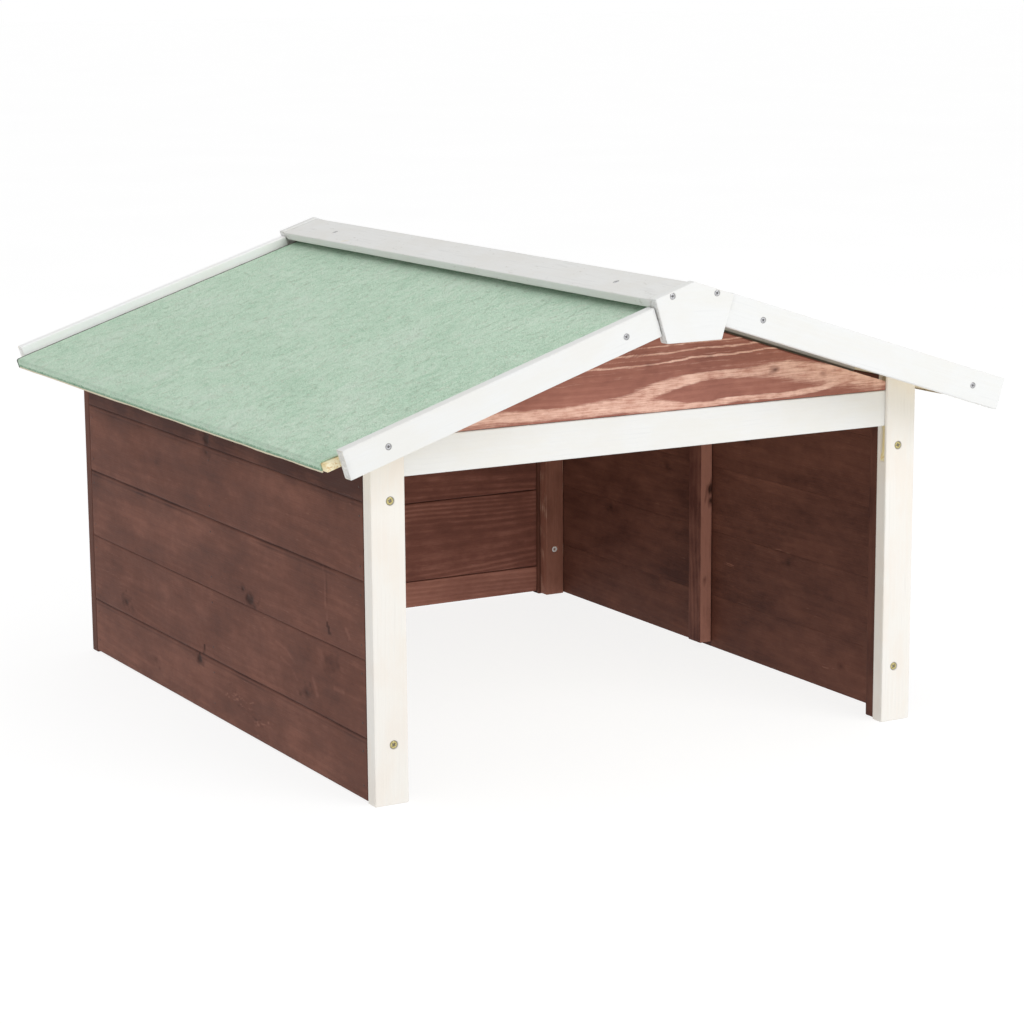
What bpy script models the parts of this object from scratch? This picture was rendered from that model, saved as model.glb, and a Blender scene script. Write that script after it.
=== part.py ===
"""Open-fronted timber pet shelter with a felted gable roof, as separate named parts.

The frame of the model: X runs across the front, Y from the open front (-Y) to the back,
and Z up, in metres. The origin is on the ground, in the middle of the roof's width and depth.

A roof slope has its own coordinates: s is the distance down the slope from the ridge line,
and n the height above the underside of the roof boards, square to the slope.
"""

import math

import bmesh
import bpy
from mathutils import Matrix, Vector

# ---------------------------------------------------------------- driving dimensions
OVERALL_HEIGHT = 0.500
OVERALL_DEPTH = 0.862
ROOF_PITCH = math.radians(18.0)
EAVE_REACH = 0.3914           # from the middle to the lower edge of the roof boards
HOUSE_WIDTH = 0.646           # over the outer faces of the walls and posts
HOUSE_FRONT = -0.3633         # front face of the front posts
HOUSE_BACK = 0.3893           # rear face of the rear posts
LINTEL_BOTTOM = 0.323

GAP = 0.0003                  # clearance between pieces that touch
EDGE = 0.0007                 # eased edge of a board

# Timber sections
POST_WIDTH = 0.037
POST_THICK = 0.016
BATTEN_WIDE = 0.026
BATTEN_THICK = 0.016
WALL_BOARD_THICK = 0.008
PANEL_BOARD_THICK = 0.0066    # gable board and back boards, which sit in grooves
LINTEL_HEIGHT = 0.038
LINTEL_THICK = 0.0123

# Grooves in the posts
GROOVE_DEPTH = 0.0073
FRONT_LIP = 0.0035            # from the front post's face to the gable board's face
BACK_LIP = 0.0053             # from the rear post's inner face to the back boards
SAW_RADIUS = 0.035            # the groove in a front post runs out on this radius
GROOVE_START = 0.306          # height where that groove reaches its full depth

# Walls
WALL_FOOT = 0.0025
WALL_BOARD_PITCH = 0.078
WALL_FIRST_JOINT = 0.0655
WALL_BOARDS = 5
MIDDLE_BATTEN_Y = 0.0234
MIDDLE_BATTEN_FOOT = 0.008
BATTEN_FOOT = 0.001
BATTEN_TOP = 0.362
BACK_BOARD_PITCH = 0.101
BACK_FIRST_JOINT = 0.036
BACK_BOARDS = 6
BACK_TOP = 0.463
GABLE_BOARD_TOP = 0.461
GABLE_AIR_GAP = 0.0080        # between the front gable board and the underside of the roof
BACK_AIR_GAP = 0.005          # between the back boards and the underside of the roof

# Roof
ROOF_BOARD_THICK = 0.0085
ROOF_BOARDS = 4
FELT_THICK = 0.0015
FELT_DROP = 0.0010            # how far the felt hangs below the boards at the eave
BARGE_THICK = 0.013
BARGE_BOTTOM = -0.0091        # n of a bargeboard's lower edge
BARGE_TOP = 0.0209            # n of its upper edge
BARGE_END = 0.4028            # s of its lower end
FRONT_LEFT_SHORT = 0.0055      # the front left bargeboard stops short of the others
# How much higher the edges of each front bargeboard sit than those of the rear ones
FRONT_RAISED = {"left": (-0.0030, -0.0030), "right": (0.0025, 0.0065)}
PLATE_THICK = 0.012
PLATE_PROUD = 0.004           # end plate in front of the bargeboards
PLATE_HALF = 0.0400           # s of the end plate's sides
PLATE_TOP = 0.02663           # n of its top edges
PLATE_BOTTOM_Z = 0.4405
CAP_BOTTOM = 0.0162           # n of the ridge cap boards
CAP_TOP = 0.0252
ROOF_BATTEN_START = 0.022
ROOF_BATTEN_END = 0.2655
ROOF_BATTEN_TALL = BATTEN_WIDE
ROOF_BATTEN_THICK = BATTEN_THICK

# Fasteners
SCREW_HEAD_RADIUS = 0.0038
SCREW_RADIUS = 0.0018
SCREW_HEAD_HEIGHT = 0.0026
SCREW_SINK = 0.0002
SCREW_LENGTH = 0.028
SCREW_STEPS = 12
SCREW_HEIGHTS = {"lower": 0.0605, "upper": 0.3015}

# Worked out from the above
SIN_PITCH = math.sin(ROOF_PITCH)
COS_PITCH = math.cos(ROOF_PITCH)
RIDGE_HEIGHT = OVERALL_HEIGHT - PLATE_TOP / COS_PITCH      # underside of the boards at the ridge
HALF_HOUSE = HOUSE_WIDTH / 2
POST_INNER = HALF_HOUSE - POST_WIDTH
WALL_INNER = HALF_HOUSE - WALL_BOARD_THICK
WALL_FRONT = HOUSE_FRONT + POST_THICK + GAP
WALL_BACK = HOUSE_BACK - POST_THICK - GAP
GABLE_FRONT = HOUSE_FRONT + FRONT_LIP
BACK_FRONT = HOUSE_BACK - POST_THICK + BACK_LIP
PANEL_HALF = POST_INNER + GROOVE_DEPTH - 0.0008
PLATE_FACE = OVERALL_DEPTH / 2
BARGE_FACE = PLATE_FACE - PLATE_PROUD
ROOF_END = BARGE_FACE - BARGE_THICK - GAP
CAP_END = PLATE_FACE - PLATE_THICK - GAP
ROOF_BOARD_END = EAVE_REACH / COS_PITCH
BATTEN_X = WALL_INNER - GAP - BATTEN_WIDE / 2              # middle of the front and rear battens
FELT_BOTTOM = ROOF_BOARD_THICK + GAP
FELT_TOP = FELT_BOTTOM + FELT_THICK

SIDES = {"left": -1, "right": 1}
ENDS = {"front": -1, "rear": 1}

MATERIALS = {
    "white_paint": ((0.89, 0.87, 0.83), 0.50, 0.0),
    "grey_white_paint": ((0.73, 0.72, 0.69), 0.55, 0.0),
    "brown_stain": ((0.138, 0.065, 0.048), 0.60, 0.0),
    "gable_stain": ((0.352, 0.150, 0.107), 0.55, 0.0),
    "roof_board_pine": ((0.80, 0.66, 0.42), 0.70, 0.0),
    "green_felt": ((0.456, 0.624, 0.491), 0.95, 0.0),
    "zinc_screw": ((0.60, 0.55, 0.42), 0.35, 1.0),
}


# ---------------------------------------------------------------- helpers
def clear_scene():
    for thing in list(bpy.data.objects):
        bpy.data.objects.remove(thing, do_unlink=True)


def new_collection(name):
    collection = bpy.data.collections.new(name)
    bpy.context.scene.collection.children.link(collection)
    return collection


def make_materials():
    for name, (colour, roughness, metallic) in MATERIALS.items():
        material = bpy.data.materials.new(name)
        material.use_nodes = True
        shader = material.node_tree.nodes["Principled BSDF"]
        shader.inputs["Base Color"].default_value = (*colour, 1.0)
        shader.inputs["Roughness"].default_value = roughness
        shader.inputs["Metallic"].default_value = metallic


def place(thing, collection, material=None):
    """Puts an object in one collection only and gives it its material."""
    for other in list(thing.users_collection):
        other.objects.unlink(thing)
    collection.objects.link(thing)
    if material:
        thing.data.materials.append(bpy.data.materials[material])
    return thing


def mark_cutter(thing):
    place(thing, CUTTERS)
    thing.hide_render = True
    thing.display_type = "WIRE"
    return thing


def ease_edges(thing, width=EDGE):
    bevel = thing.modifiers.new("eased edges", "BEVEL")
    bevel.width = width
    bevel.segments = 1
    bevel.limit_method = "ANGLE"


def cut(thing, cutter):
    boolean = thing.modifiers.new(cutter.name, "BOOLEAN")
    boolean.operation = "DIFFERENCE"
    boolean.solver = "EXACT"
    boolean.object = cutter


def cube(name, low, high):
    """A cube primitive with its size in the mesh, between two corners."""
    low, high = Vector(low), Vector(high)
    bpy.ops.mesh.primitive_cube_add(size=1.0, location=(low + high) / 2)
    thing = bpy.context.object
    thing.name = name
    thing.data.transform(Matrix.Diagonal((*(high - low), 1.0)))
    return thing


def board(name, low, high, material, edge=EDGE):
    """A straight board, square to the axes."""
    thing = place(cube(name, low, high), PARTS, material)
    ease_edges(thing, edge)
    return thing


def mirrored_range(side, near, far):
    """The X range of a piece between two distances from the middle, on one side."""
    return sorted((side * near, side * far))


def slope_matrix(side):
    """From a slope's (s * side, y, n) to the model's frame."""
    ridge = Matrix.Translation((0.0, 0.0, RIDGE_HEIGHT))
    return ridge @ Matrix.Rotation(side * ROOF_PITCH, 4, "Y")


def on_slope(side, s, y, n):
    return slope_matrix(side) @ Vector((side * s, y, n))


def slope_cube(name, side, s_range, y_range, n_range):
    near, far = mirrored_range(side, *s_range)
    thing = cube(name, (near, y_range[0], n_range[0]), (far, y_range[1], n_range[1]))
    centre = thing.location.copy()
    thing.location = slope_matrix(side) @ centre
    thing.rotation_euler = (0.0, side * ROOF_PITCH, 0.0)
    return thing


def slope_board(name, side, s_range, y_range, n_range, material, edge=EDGE):
    """A board that lies along a roof slope."""
    thing = place(slope_cube(name, side, s_range, y_range, n_range), PARTS, material)
    ease_edges(thing, edge)
    return thing


def outline_mesh(name, points, thickness, y_middle, material):
    """A flat outline in X and Z, of one thickness along Y, as a welded mesh."""
    data = bpy.data.curves.new(name, "CURVE")
    data.dimensions = "2D"
    data.fill_mode = "BOTH"
    data.extrude = thickness / 2
    spline = data.splines.new("POLY")
    spline.points.add(len(points) - 1)
    for point, (x, z) in zip(spline.points, points):
        point.co = (x, z, 0.0, 1.0)
    spline.use_cyclic_u = True
    source = bpy.data.objects.new(name + " outline", data)
    source.rotation_euler = (math.pi / 2, 0.0, 0.0)
    source.location = (0.0, y_middle, 0.0)
    bpy.context.scene.collection.objects.link(source)
    depsgraph = bpy.context.evaluated_depsgraph_get()
    mesh = bpy.data.meshes.new_from_object(source.evaluated_get(depsgraph))
    weld = bmesh.new()
    weld.from_mesh(mesh)
    bmesh.ops.remove_doubles(weld, verts=weld.verts, dist=0.00001)
    bmesh.ops.recalc_face_normals(weld, faces=weld.faces)
    weld.to_mesh(mesh)
    weld.free()
    thing = bpy.data.objects.new(name, mesh)
    bpy.context.scene.collection.objects.link(thing)
    thing.matrix_world = source.matrix_world.copy()
    bpy.data.objects.remove(source, do_unlink=True)
    return place(thing, PARTS, material)


def turned_mesh(name, profile):
    """A closed turned shape about Z, from a profile of (radius, height) points, top first."""
    mesh = bpy.data.meshes.new(name + " profile")
    edges = [(index, index + 1) for index in range(len(profile) - 1)]
    mesh.from_pydata([(radius, 0.0, height) for radius, height in profile], edges, [])
    source = bpy.data.objects.new(name + " profile", mesh)
    bpy.context.scene.collection.objects.link(source)
    screw = source.modifiers.new("turn", "SCREW")
    screw.steps = SCREW_STEPS
    screw.render_steps = SCREW_STEPS
    screw.use_merge_vertices = True
    screw.merge_threshold = 0.00001
    depsgraph = bpy.context.evaluated_depsgraph_get()
    turned = bpy.data.meshes.new_from_object(source.evaluated_get(depsgraph))
    bpy.data.objects.remove(source, do_unlink=True)
    return turned


def screw_mesh(clearance=0.0):
    """A countersunk screw, its head's face at z = 0 and its tip below; or its clearance hole."""
    head = SCREW_HEAD_RADIUS + clearance
    shank = SCREW_RADIUS + clearance
    top = 4 * clearance
    profile = [(0.0, top), (head, top), (head, -0.0004 - clearance),
               (shank, -SCREW_HEAD_HEIGHT - clearance),
               (shank, -SCREW_LENGTH + 0.005), (0.0, -SCREW_LENGTH - clearance)]
    return turned_mesh("screw", profile)


def drive_screw(name, mesh, hole_mesh, point, pieces):
    """Adds a screw that is driven towards +Y at a point, and its hole in each piece."""
    screw = bpy.data.objects.new(name, mesh)
    hole = bpy.data.objects.new(name + " hole", hole_mesh)
    place(screw, PARTS)
    mark_cutter(hole)
    for thing in (screw, hole):
        thing.location = Vector(point) + Vector((0.0, SCREW_SINK, 0.0))
        thing.rotation_euler = (math.pi / 2, 0.0, 0.0)
    for piece in pieces:
        cut(piece, hole)


def part(name):
    return PARTS.objects[name]


# ---------------------------------------------------------------- cutters for sloping tops
def slope_cutter(name, side, drop):
    """All that is above a line parallel to a roof slope, a drop below the roof boards."""
    reach = HOUSE_WIDTH
    half_depth = OVERALL_DEPTH / 2
    return mark_cutter(slope_cube(name, side, (-0.1, reach), (-half_depth, half_depth),
                                  (-drop, 0.15)))


def trim_to_roof(thing, drop=GAP):
    """Cuts a piece off under both roof slopes."""
    for side_name, side in SIDES.items():
        name = f"{side_name} slope less {drop * 1000:.1f} mm"
        cutter = CUTTERS.objects.get(name) or slope_cutter(name, side, drop)
        cut(thing, cutter)


# ---------------------------------------------------------------- front frame
def build_front_frame():
    groove_front = GABLE_FRONT - GAP
    groove_back = GABLE_FRONT + PANEL_BOARD_THICK + GAP
    for side_name, side in SIDES.items():
        near, far = mirrored_range(side, POST_INNER, HALF_HOUSE)
        post = board(f"front_post_{side_name}", (near, HOUSE_FRONT, 0.0),
                     (far, HOUSE_FRONT + POST_THICK, RIDGE_HEIGHT), "white_paint", 0.001)
        near, far = mirrored_range(side, POST_INNER - 0.01, POST_INNER + GROOVE_DEPTH)
        slot = mark_cutter(cube(f"front groove {side_name}", (near, groove_front, GROOVE_START),
                                (far, groove_back, RIDGE_HEIGHT + 0.01)))
        saw_x = side * (POST_INNER + GROOVE_DEPTH - SAW_RADIUS)
        bpy.ops.mesh.primitive_cylinder_add(
            vertices=48, radius=SAW_RADIUS, depth=groove_back - groove_front,
            location=(saw_x, (groove_front + groove_back) / 2, GROOVE_START),
            rotation=(math.pi / 2, 0.0, 0.0))
        saw = bpy.context.object
        saw.name = f"front groove run-out {side_name}"
        mark_cutter(saw)
        cut(post, slot)
        cut(post, saw)
        trim_to_roof(post)

    lintel_back = GABLE_FRONT + LINTEL_THICK
    lintel = board("front_lintel", (-PANEL_HALF, GABLE_FRONT, LINTEL_BOTTOM),
                   (PANEL_HALF, lintel_back, LINTEL_BOTTOM + LINTEL_HEIGHT), "white_paint")
    for side_name, side in SIDES.items():
        near, far = mirrored_range(side, POST_INNER - GAP, HALF_HOUSE)
        rebate = cube(f"lintel rebate {side_name}",
                      (near, GABLE_FRONT + PANEL_BOARD_THICK, LINTEL_BOTTOM - 0.01),
                      (far, lintel_back + 0.01, LINTEL_BOTTOM + LINTEL_HEIGHT + 0.01))
        cut(lintel, mark_cutter(rebate))

    gable = board("front_gable_board",
                  (-PANEL_HALF, GABLE_FRONT, LINTEL_BOTTOM + LINTEL_HEIGHT + GAP),
                  (PANEL_HALF, GABLE_FRONT + PANEL_BOARD_THICK, GABLE_BOARD_TOP), "gable_stain")
    trim_to_roof(gable, GABLE_AIR_GAP)


# ---------------------------------------------------------------- side walls
def wall_joints():
    """Heights of the joints between the wall boards, with the foot and the top."""
    joints = [WALL_FIRST_JOINT + WALL_BOARD_PITCH * row for row in range(WALL_BOARDS - 1)]
    return [WALL_FOOT, *joints, RIDGE_HEIGHT - 0.08]


def batten_places():
    """Each wall batten's name, range of Y and foot."""
    half_wide = BATTEN_WIDE / 2
    return {
        "front": (WALL_FRONT, WALL_FRONT + BATTEN_THICK, BATTEN_FOOT),
        "middle": (MIDDLE_BATTEN_Y - half_wide, MIDDLE_BATTEN_Y + half_wide, MIDDLE_BATTEN_FOOT),
        "rear": (WALL_BACK - BATTEN_THICK, WALL_BACK, BATTEN_FOOT),
    }


def build_side_walls():
    joints = wall_joints()
    for side_name, side in SIDES.items():
        near, far = mirrored_range(side, WALL_INNER, HALF_HOUSE)
        for row in range(WALL_BOARDS):
            plank = board(f"{side_name}_wall_board_{row + 1}",
                          (near, WALL_FRONT, joints[row] + GAP / 2),
                          (far, WALL_BACK, joints[row + 1] - GAP / 2), "brown_stain")
            if row == WALL_BOARDS - 1:
                trim_to_roof(plank)
        for batten_name, (y_low, y_high, foot) in batten_places().items():
            depth = BATTEN_THICK if batten_name == "middle" else BATTEN_WIDE
            near_batten, far_batten = mirrored_range(side, WALL_INNER - GAP - depth,
                                                     WALL_INNER - GAP)
            board(f"{side_name}_wall_batten_{batten_name}", (near_batten, y_low, foot),
                  (far_batten, y_high, BATTEN_TOP), "brown_stain")


# ---------------------------------------------------------------- back wall
def build_back_wall():
    for side_name, side in SIDES.items():
        near, far = mirrored_range(side, POST_INNER, HALF_HOUSE)
        post = board(f"rear_post_{side_name}", (near, HOUSE_BACK - POST_THICK, 0.0),
                     (far, HOUSE_BACK, RIDGE_HEIGHT), "brown_stain", 0.001)
        near, far = mirrored_range(side, POST_INNER - 0.01, POST_INNER + GROOVE_DEPTH)
        slot = cube(f"rear groove {side_name}", (near, BACK_FRONT - GAP, -0.01),
                    (far, BACK_FRONT + PANEL_BOARD_THICK + GAP, RIDGE_HEIGHT + 0.01))
        cut(post, mark_cutter(slot))
        trim_to_roof(post)

    joints = [WALL_FOOT]
    joints += [BACK_FIRST_JOINT + BACK_BOARD_PITCH * row for row in range(BACK_BOARDS - 1)]
    joints.append(BACK_TOP)
    for row in range(BACK_BOARDS):
        plank = board(f"back_board_{row + 1}",
                      (-PANEL_HALF, BACK_FRONT, joints[row] + GAP / 2),
                      (PANEL_HALF, BACK_FRONT + PANEL_BOARD_THICK, joints[row + 1] - GAP / 2),
                      "brown_stain")
        if joints[row + 1] > BATTEN_TOP:
            trim_to_roof(plank, BACK_AIR_GAP)

    half_wide = BATTEN_WIDE / 2
    batten_front = BACK_FRONT - GAP - BATTEN_THICK
    board("back_centre_batten", (-half_wide, batten_front, BATTEN_FOOT),
          (half_wide, BACK_FRONT - GAP, BACK_TOP - 0.003), "brown_stain")


# ---------------------------------------------------------------- roof
def roof_batten_ranges():
    """The range of Y of the roof battens at each end, against the gable boards."""
    front = GABLE_FRONT + PANEL_BOARD_THICK + GAP
    rear = BACK_FRONT - GAP
    return {"front": (front, front + ROOF_BATTEN_THICK), "rear": (rear - ROOF_BATTEN_THICK, rear)}


def build_roof_boards():
    pitch = ROOF_BOARD_END / ROOF_BOARDS
    for side_name, side in SIDES.items():
        for row in range(ROOF_BOARDS):
            start = pitch * row + GAP
            slope_board(f"roof_board_{side_name}_{row + 1}", side, (start, pitch * (row + 1)),
                        (-ROOF_END, ROOF_END), (0.0, ROOF_BOARD_THICK), "roof_board_pine")
        for end_name, y_range in roof_batten_ranges().items():
            slope_board(f"roof_batten_{end_name}_{side_name}", side,
                        (ROOF_BATTEN_START, ROOF_BATTEN_END), y_range,
                        (-GAP - ROOF_BATTEN_TALL, -GAP), "grey_white_paint")


def build_felt():
    """A sheet on each slope that turns down over the eave."""
    ridge_end = -0.0025
    inner = ROOF_BOARD_END + GAP
    outer = inner + FELT_THICK
    profile = [(ridge_end, FELT_BOTTOM), (inner, FELT_BOTTOM), (inner, -FELT_DROP),
               (outer, -FELT_DROP), (outer, FELT_TOP), (ridge_end, FELT_TOP)]
    for side_name, side in SIDES.items():
        points = [on_slope(side, s, 0.0, n) for s, n in profile]
        outline_mesh(f"roof_felt_{side_name}", [(point.x, point.z) for point in points],
                     2 * ROOF_END, 0.0, "green_felt")


def build_bargeboards():
    for end_name, end in ENDS.items():
        y_range = sorted((end * BARGE_FACE, end * (BARGE_FACE - BARGE_THICK)))
        for side_name, side in SIDES.items():
            lower_end, edges = BARGE_END, (BARGE_BOTTOM, BARGE_TOP)
            if end_name == "front":
                bottom_raised, top_raised = FRONT_RAISED[side_name]
                edges = (BARGE_BOTTOM + bottom_raised, BARGE_TOP + top_raised)
                if side_name == "left":
                    lower_end = BARGE_END - FRONT_LEFT_SHORT
            slope_board(f"bargeboard_{end_name}_{side_name}", side, (PLATE_HALF + GAP, lower_end),
                        y_range, edges, "white_paint", 0.001)


# ---------------------------------------------------------------- ridge cap
def build_ridge_cap():
    for side_name, side in SIDES.items():
        cap = slope_board(f"ridge_cap_board_{side_name}", side, (-0.02, PLATE_HALF - 0.0005),
                          (-CAP_END, CAP_END), (CAP_BOTTOM, CAP_TOP), "grey_white_paint")
        near, far = mirrored_range(side, -0.05, GAP / 2)
        mitre = cube(f"ridge mitre {side_name}", (near, -PLATE_FACE, RIDGE_HEIGHT - 0.05),
                     (far, PLATE_FACE, OVERALL_HEIGHT + 0.05))
        cut(cap, mark_cutter(mitre))

    corner = on_slope(1, PLATE_HALF, 0.0, PLATE_TOP)
    foot_n = (PLATE_BOTTOM_Z - RIDGE_HEIGHT + PLATE_HALF * SIN_PITCH) / COS_PITCH
    foot = on_slope(1, PLATE_HALF, 0.0, foot_n)
    outline = [(0.0, OVERALL_HEIGHT), (-corner.x, corner.z), (-foot.x, foot.z),
               (foot.x, foot.z), (corner.x, corner.z)]
    for end_name, end in ENDS.items():
        plate = outline_mesh(f"ridge_end_plate_{end_name}", outline, PLATE_THICK,
                             end * (PLATE_FACE - PLATE_THICK / 2), "white_paint")
        ease_edges(plate)


# ---------------------------------------------------------------- screws in the frame
def screw_walls():
    """Front posts to the front battens, and rear battens to the rear posts."""
    mesh = screw_mesh()
    mesh.materials.append(bpy.data.materials["zinc_screw"])
    mesh.shade_smooth()
    mesh.set_sharp_from_angle(angle=math.radians(30))
    hole_mesh = screw_mesh(GAP)
    rear_face = WALL_BACK - BATTEN_THICK
    for side_name, side in SIDES.items():
        front_pieces = [part(f"front_post_{side_name}"), part(f"{side_name}_wall_batten_front")]
        rear_pieces = [part(f"rear_post_{side_name}"), part(f"{side_name}_wall_batten_rear")]
        for row, height in SCREW_HEIGHTS.items():
            drive_screw(f"front_post_screw_{side_name}_{row}", mesh, hole_mesh,
                        (side * BATTEN_X, HOUSE_FRONT, height), front_pieces)
            drive_screw(f"rear_batten_screw_{side_name}_{row}", mesh, hole_mesh,
                        (side * BATTEN_X, rear_face, height), rear_pieces)


clear_scene()
PARTS = new_collection("pet_shelter")
CUTTERS = new_collection("cutters")
make_materials()
build_front_frame()
build_side_walls()
build_back_wall()
build_roof_boards()
build_felt()
build_bargeboards()
build_ridge_cap()
screw_walls()
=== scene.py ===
"""Looks for the open-fronted timber pet shelter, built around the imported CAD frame.

Every CAD node is replaced by a finely meshed piece that fills the same space: timber with
rounded edges, grain relief and saw marks, mineral felt folded over the eaves, and recessed
screws. Each timber piece carries its own grain in mesh attributes, which its material reads.

Lengths are in metres. A timber piece has its own axes: u along its grain, v across its face
and w through its thickness.
"""

import itertools
import math
import zlib
from typing import NamedTuple

import bpy
import numpy as np
from mathutils import Euler, Matrix, Vector


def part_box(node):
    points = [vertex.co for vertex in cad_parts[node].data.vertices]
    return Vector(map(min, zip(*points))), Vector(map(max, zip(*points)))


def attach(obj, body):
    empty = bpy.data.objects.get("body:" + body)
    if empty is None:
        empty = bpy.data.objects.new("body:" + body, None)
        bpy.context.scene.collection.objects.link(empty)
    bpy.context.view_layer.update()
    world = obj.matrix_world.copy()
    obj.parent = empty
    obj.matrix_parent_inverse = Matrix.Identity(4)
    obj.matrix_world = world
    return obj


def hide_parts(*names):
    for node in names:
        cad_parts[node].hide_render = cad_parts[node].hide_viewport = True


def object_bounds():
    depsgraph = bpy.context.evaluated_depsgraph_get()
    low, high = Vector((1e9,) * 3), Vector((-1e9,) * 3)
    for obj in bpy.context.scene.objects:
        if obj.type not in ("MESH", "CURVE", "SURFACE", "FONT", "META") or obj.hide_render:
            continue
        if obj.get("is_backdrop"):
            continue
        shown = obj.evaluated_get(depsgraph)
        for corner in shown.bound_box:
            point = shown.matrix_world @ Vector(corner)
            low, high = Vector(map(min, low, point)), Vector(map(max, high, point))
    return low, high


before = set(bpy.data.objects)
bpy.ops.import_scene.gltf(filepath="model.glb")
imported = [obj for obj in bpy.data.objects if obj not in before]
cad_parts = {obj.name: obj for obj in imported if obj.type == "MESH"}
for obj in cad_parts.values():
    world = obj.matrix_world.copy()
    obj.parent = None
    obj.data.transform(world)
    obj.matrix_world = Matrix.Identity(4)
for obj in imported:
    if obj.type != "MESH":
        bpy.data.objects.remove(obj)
CAD_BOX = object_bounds()


# ---------------------------------------------------------------- directions and the roof slope
ROOF_PITCH = math.radians(18.0)
SIN_PITCH, COS_PITCH = math.sin(ROOF_PITCH), math.cos(ROOF_PITCH)
X, Y, Z = np.eye(3)
SIDES = {"left": -1, "right": 1}
ENDS = {"front": -1, "rear": 1}
DOWN = {side: np.array([side * COS_PITCH, 0.0, -SIN_PITCH]) for side in SIDES.values()}
SQUARE = {side: np.array([side * SIN_PITCH, 0.0, COS_PITCH]) for side in SIDES.values()}
TINY = 1e-6
SKIN = 0.0003                                # clearance between pieces that touch

# Mesh spacing along the grain, across it and through the thickness
SPACING = (0.006, 0.0014, 0.0026)
FINE_SPACING = (0.0034, 0.0009, 0.0024)
COARSE_SPACING = (0.01, 0.0035, 0.0042)
EDGE_RADIUS = 0.0011
MARK_LINES = np.linspace(-1.0, 1.0, 17)      # extra mesh lines around a knot or a screw
KNOT_REACH = np.array((3.4, 2.0))            # of those lines, in radii, along and across
SINK_REACH = np.array((1.5, 1.5))
SINK_DEPTH = 0.0009                          # of the hole that a screw head sits in
KNOT_DEPTH = 0.0006
CHIP_DEPTH = 0.00036                         # of the chips out of a board's edges
DEEPEST = 0.004                              # limit of all relief together


def axes_of(u, v, w):
    """Three directions as the columns of a matrix."""
    return np.stack([u, v, w], axis=1)


def node_points(node):
    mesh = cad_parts[node].data
    points = np.zeros(len(mesh.vertices) * 3, np.float32)
    mesh.vertices.foreach_get("co", points)
    return points.reshape(-1, 3).astype(float)


def node_range(node, axes):
    """Lowest and highest corner of a CAD node along three directions."""
    local = node_points(node) @ axes
    return local.min(0), local.max(0)


ACROSS = axes_of(X, Z, -Y)           # boards that run across the front and back
ALONG_WALL = axes_of(Y, Z, X)        # side wall boards
UPRIGHT = axes_of(Z, X, Y)           # posts and battens
ALONG_RIDGE = {side: axes_of(Y, DOWN[side], SQUARE[side]) for side in SIDES.values()}
DOWN_SLOPE = {side: axes_of(DOWN[side], SQUARE[side], Y) for side in SIDES.values()}
ROOF_UNDERSIDE = (node_points("roof_board_right_1") @ SQUARE[1]).min()


def roof_height(x, drop=0.0):
    """Height of a line that runs a drop below the underside of the roof boards."""
    return (ROOF_UNDERSIDE - drop - np.abs(x) * SIN_PITCH) / COS_PITCH


def seed_of(name):
    return zlib.crc32(name.encode())


# ---------------------------------------------------------------- mesh building
def wobble(points, sizes, seed, waves=12):
    """Smooth, repeatable unevenness, about -1 to 1, with bumps of a size along each axis."""
    draw = np.random.default_rng(seed)
    rates = draw.normal(size=(3, waves)) * 2.6 / np.reshape(sizes, (3, 1))
    phases = draw.uniform(0.0, 2 * math.pi, waves)
    return np.sin(points @ rates + phases).sum(1) / math.sqrt(waves * 1.4)


def patchy(points, sizes, seed, waves=12):
    """The same unevenness as a share, about 0 to 1."""
    return 0.5 + 0.5 * wobble(points, sizes, seed, waves)


def smooth_step(value, low, high):
    share = np.clip((value - low) / (high - low), 0.0, 1.0)
    return share * share * (3 - 2 * share)


def fade(value, low, high):
    """1 below low, falling smoothly to 0 above high."""
    return 1 - smooth_step(value, low, high)


def grid_lines(low, high, spacing, radius, extra=()):
    """Grid places along one axis, with lines for a rounded edge at each end."""
    count = max(1, round((high - low - 2 * radius) / spacing))
    inner = np.linspace(low + radius, high - radius, count + 1)
    edge = radius * 0.586
    places = np.concatenate([[low, low + edge], inner, [high - edge, high], extra])
    return np.unique(np.round(places, 7))


def box_surface(lines):
    """The surface of a box as a grid of points and outward quads."""
    sizes = [len(axis) for axis in lines]
    shell = np.ones(sizes, bool)
    shell[1:-1, 1:-1, 1:-1] = False
    numbers = np.full(sizes, -1)
    numbers[shell] = np.arange(shell.sum())
    points = np.stack(np.meshgrid(*lines, indexing="ij"), -1)[shell]
    quads = []
    for axis in range(3):
        for end in (0, -1):
            side = np.take(numbers, end, axis)
            quad = np.stack([side[:-1, :-1], side[1:, :-1], side[1:, 1:], side[:-1, 1:]], -1)
            quad = quad.reshape(-1, 4)
            if (end == 0) != (axis == 1):
                quad = quad[:, ::-1]
            quads.append(quad)
    return points, np.concatenate(quads)


def round_off(points, low, high, radius):
    """Moves the points of a box's surface on to rounded edges; also gives the normals."""
    core = np.clip(points, low + radius, high - radius)
    away = points - core
    length = np.maximum(np.linalg.norm(away, axis=1, keepdims=True), TINY)
    normals = away / length
    return core + normals * radius, normals


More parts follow.
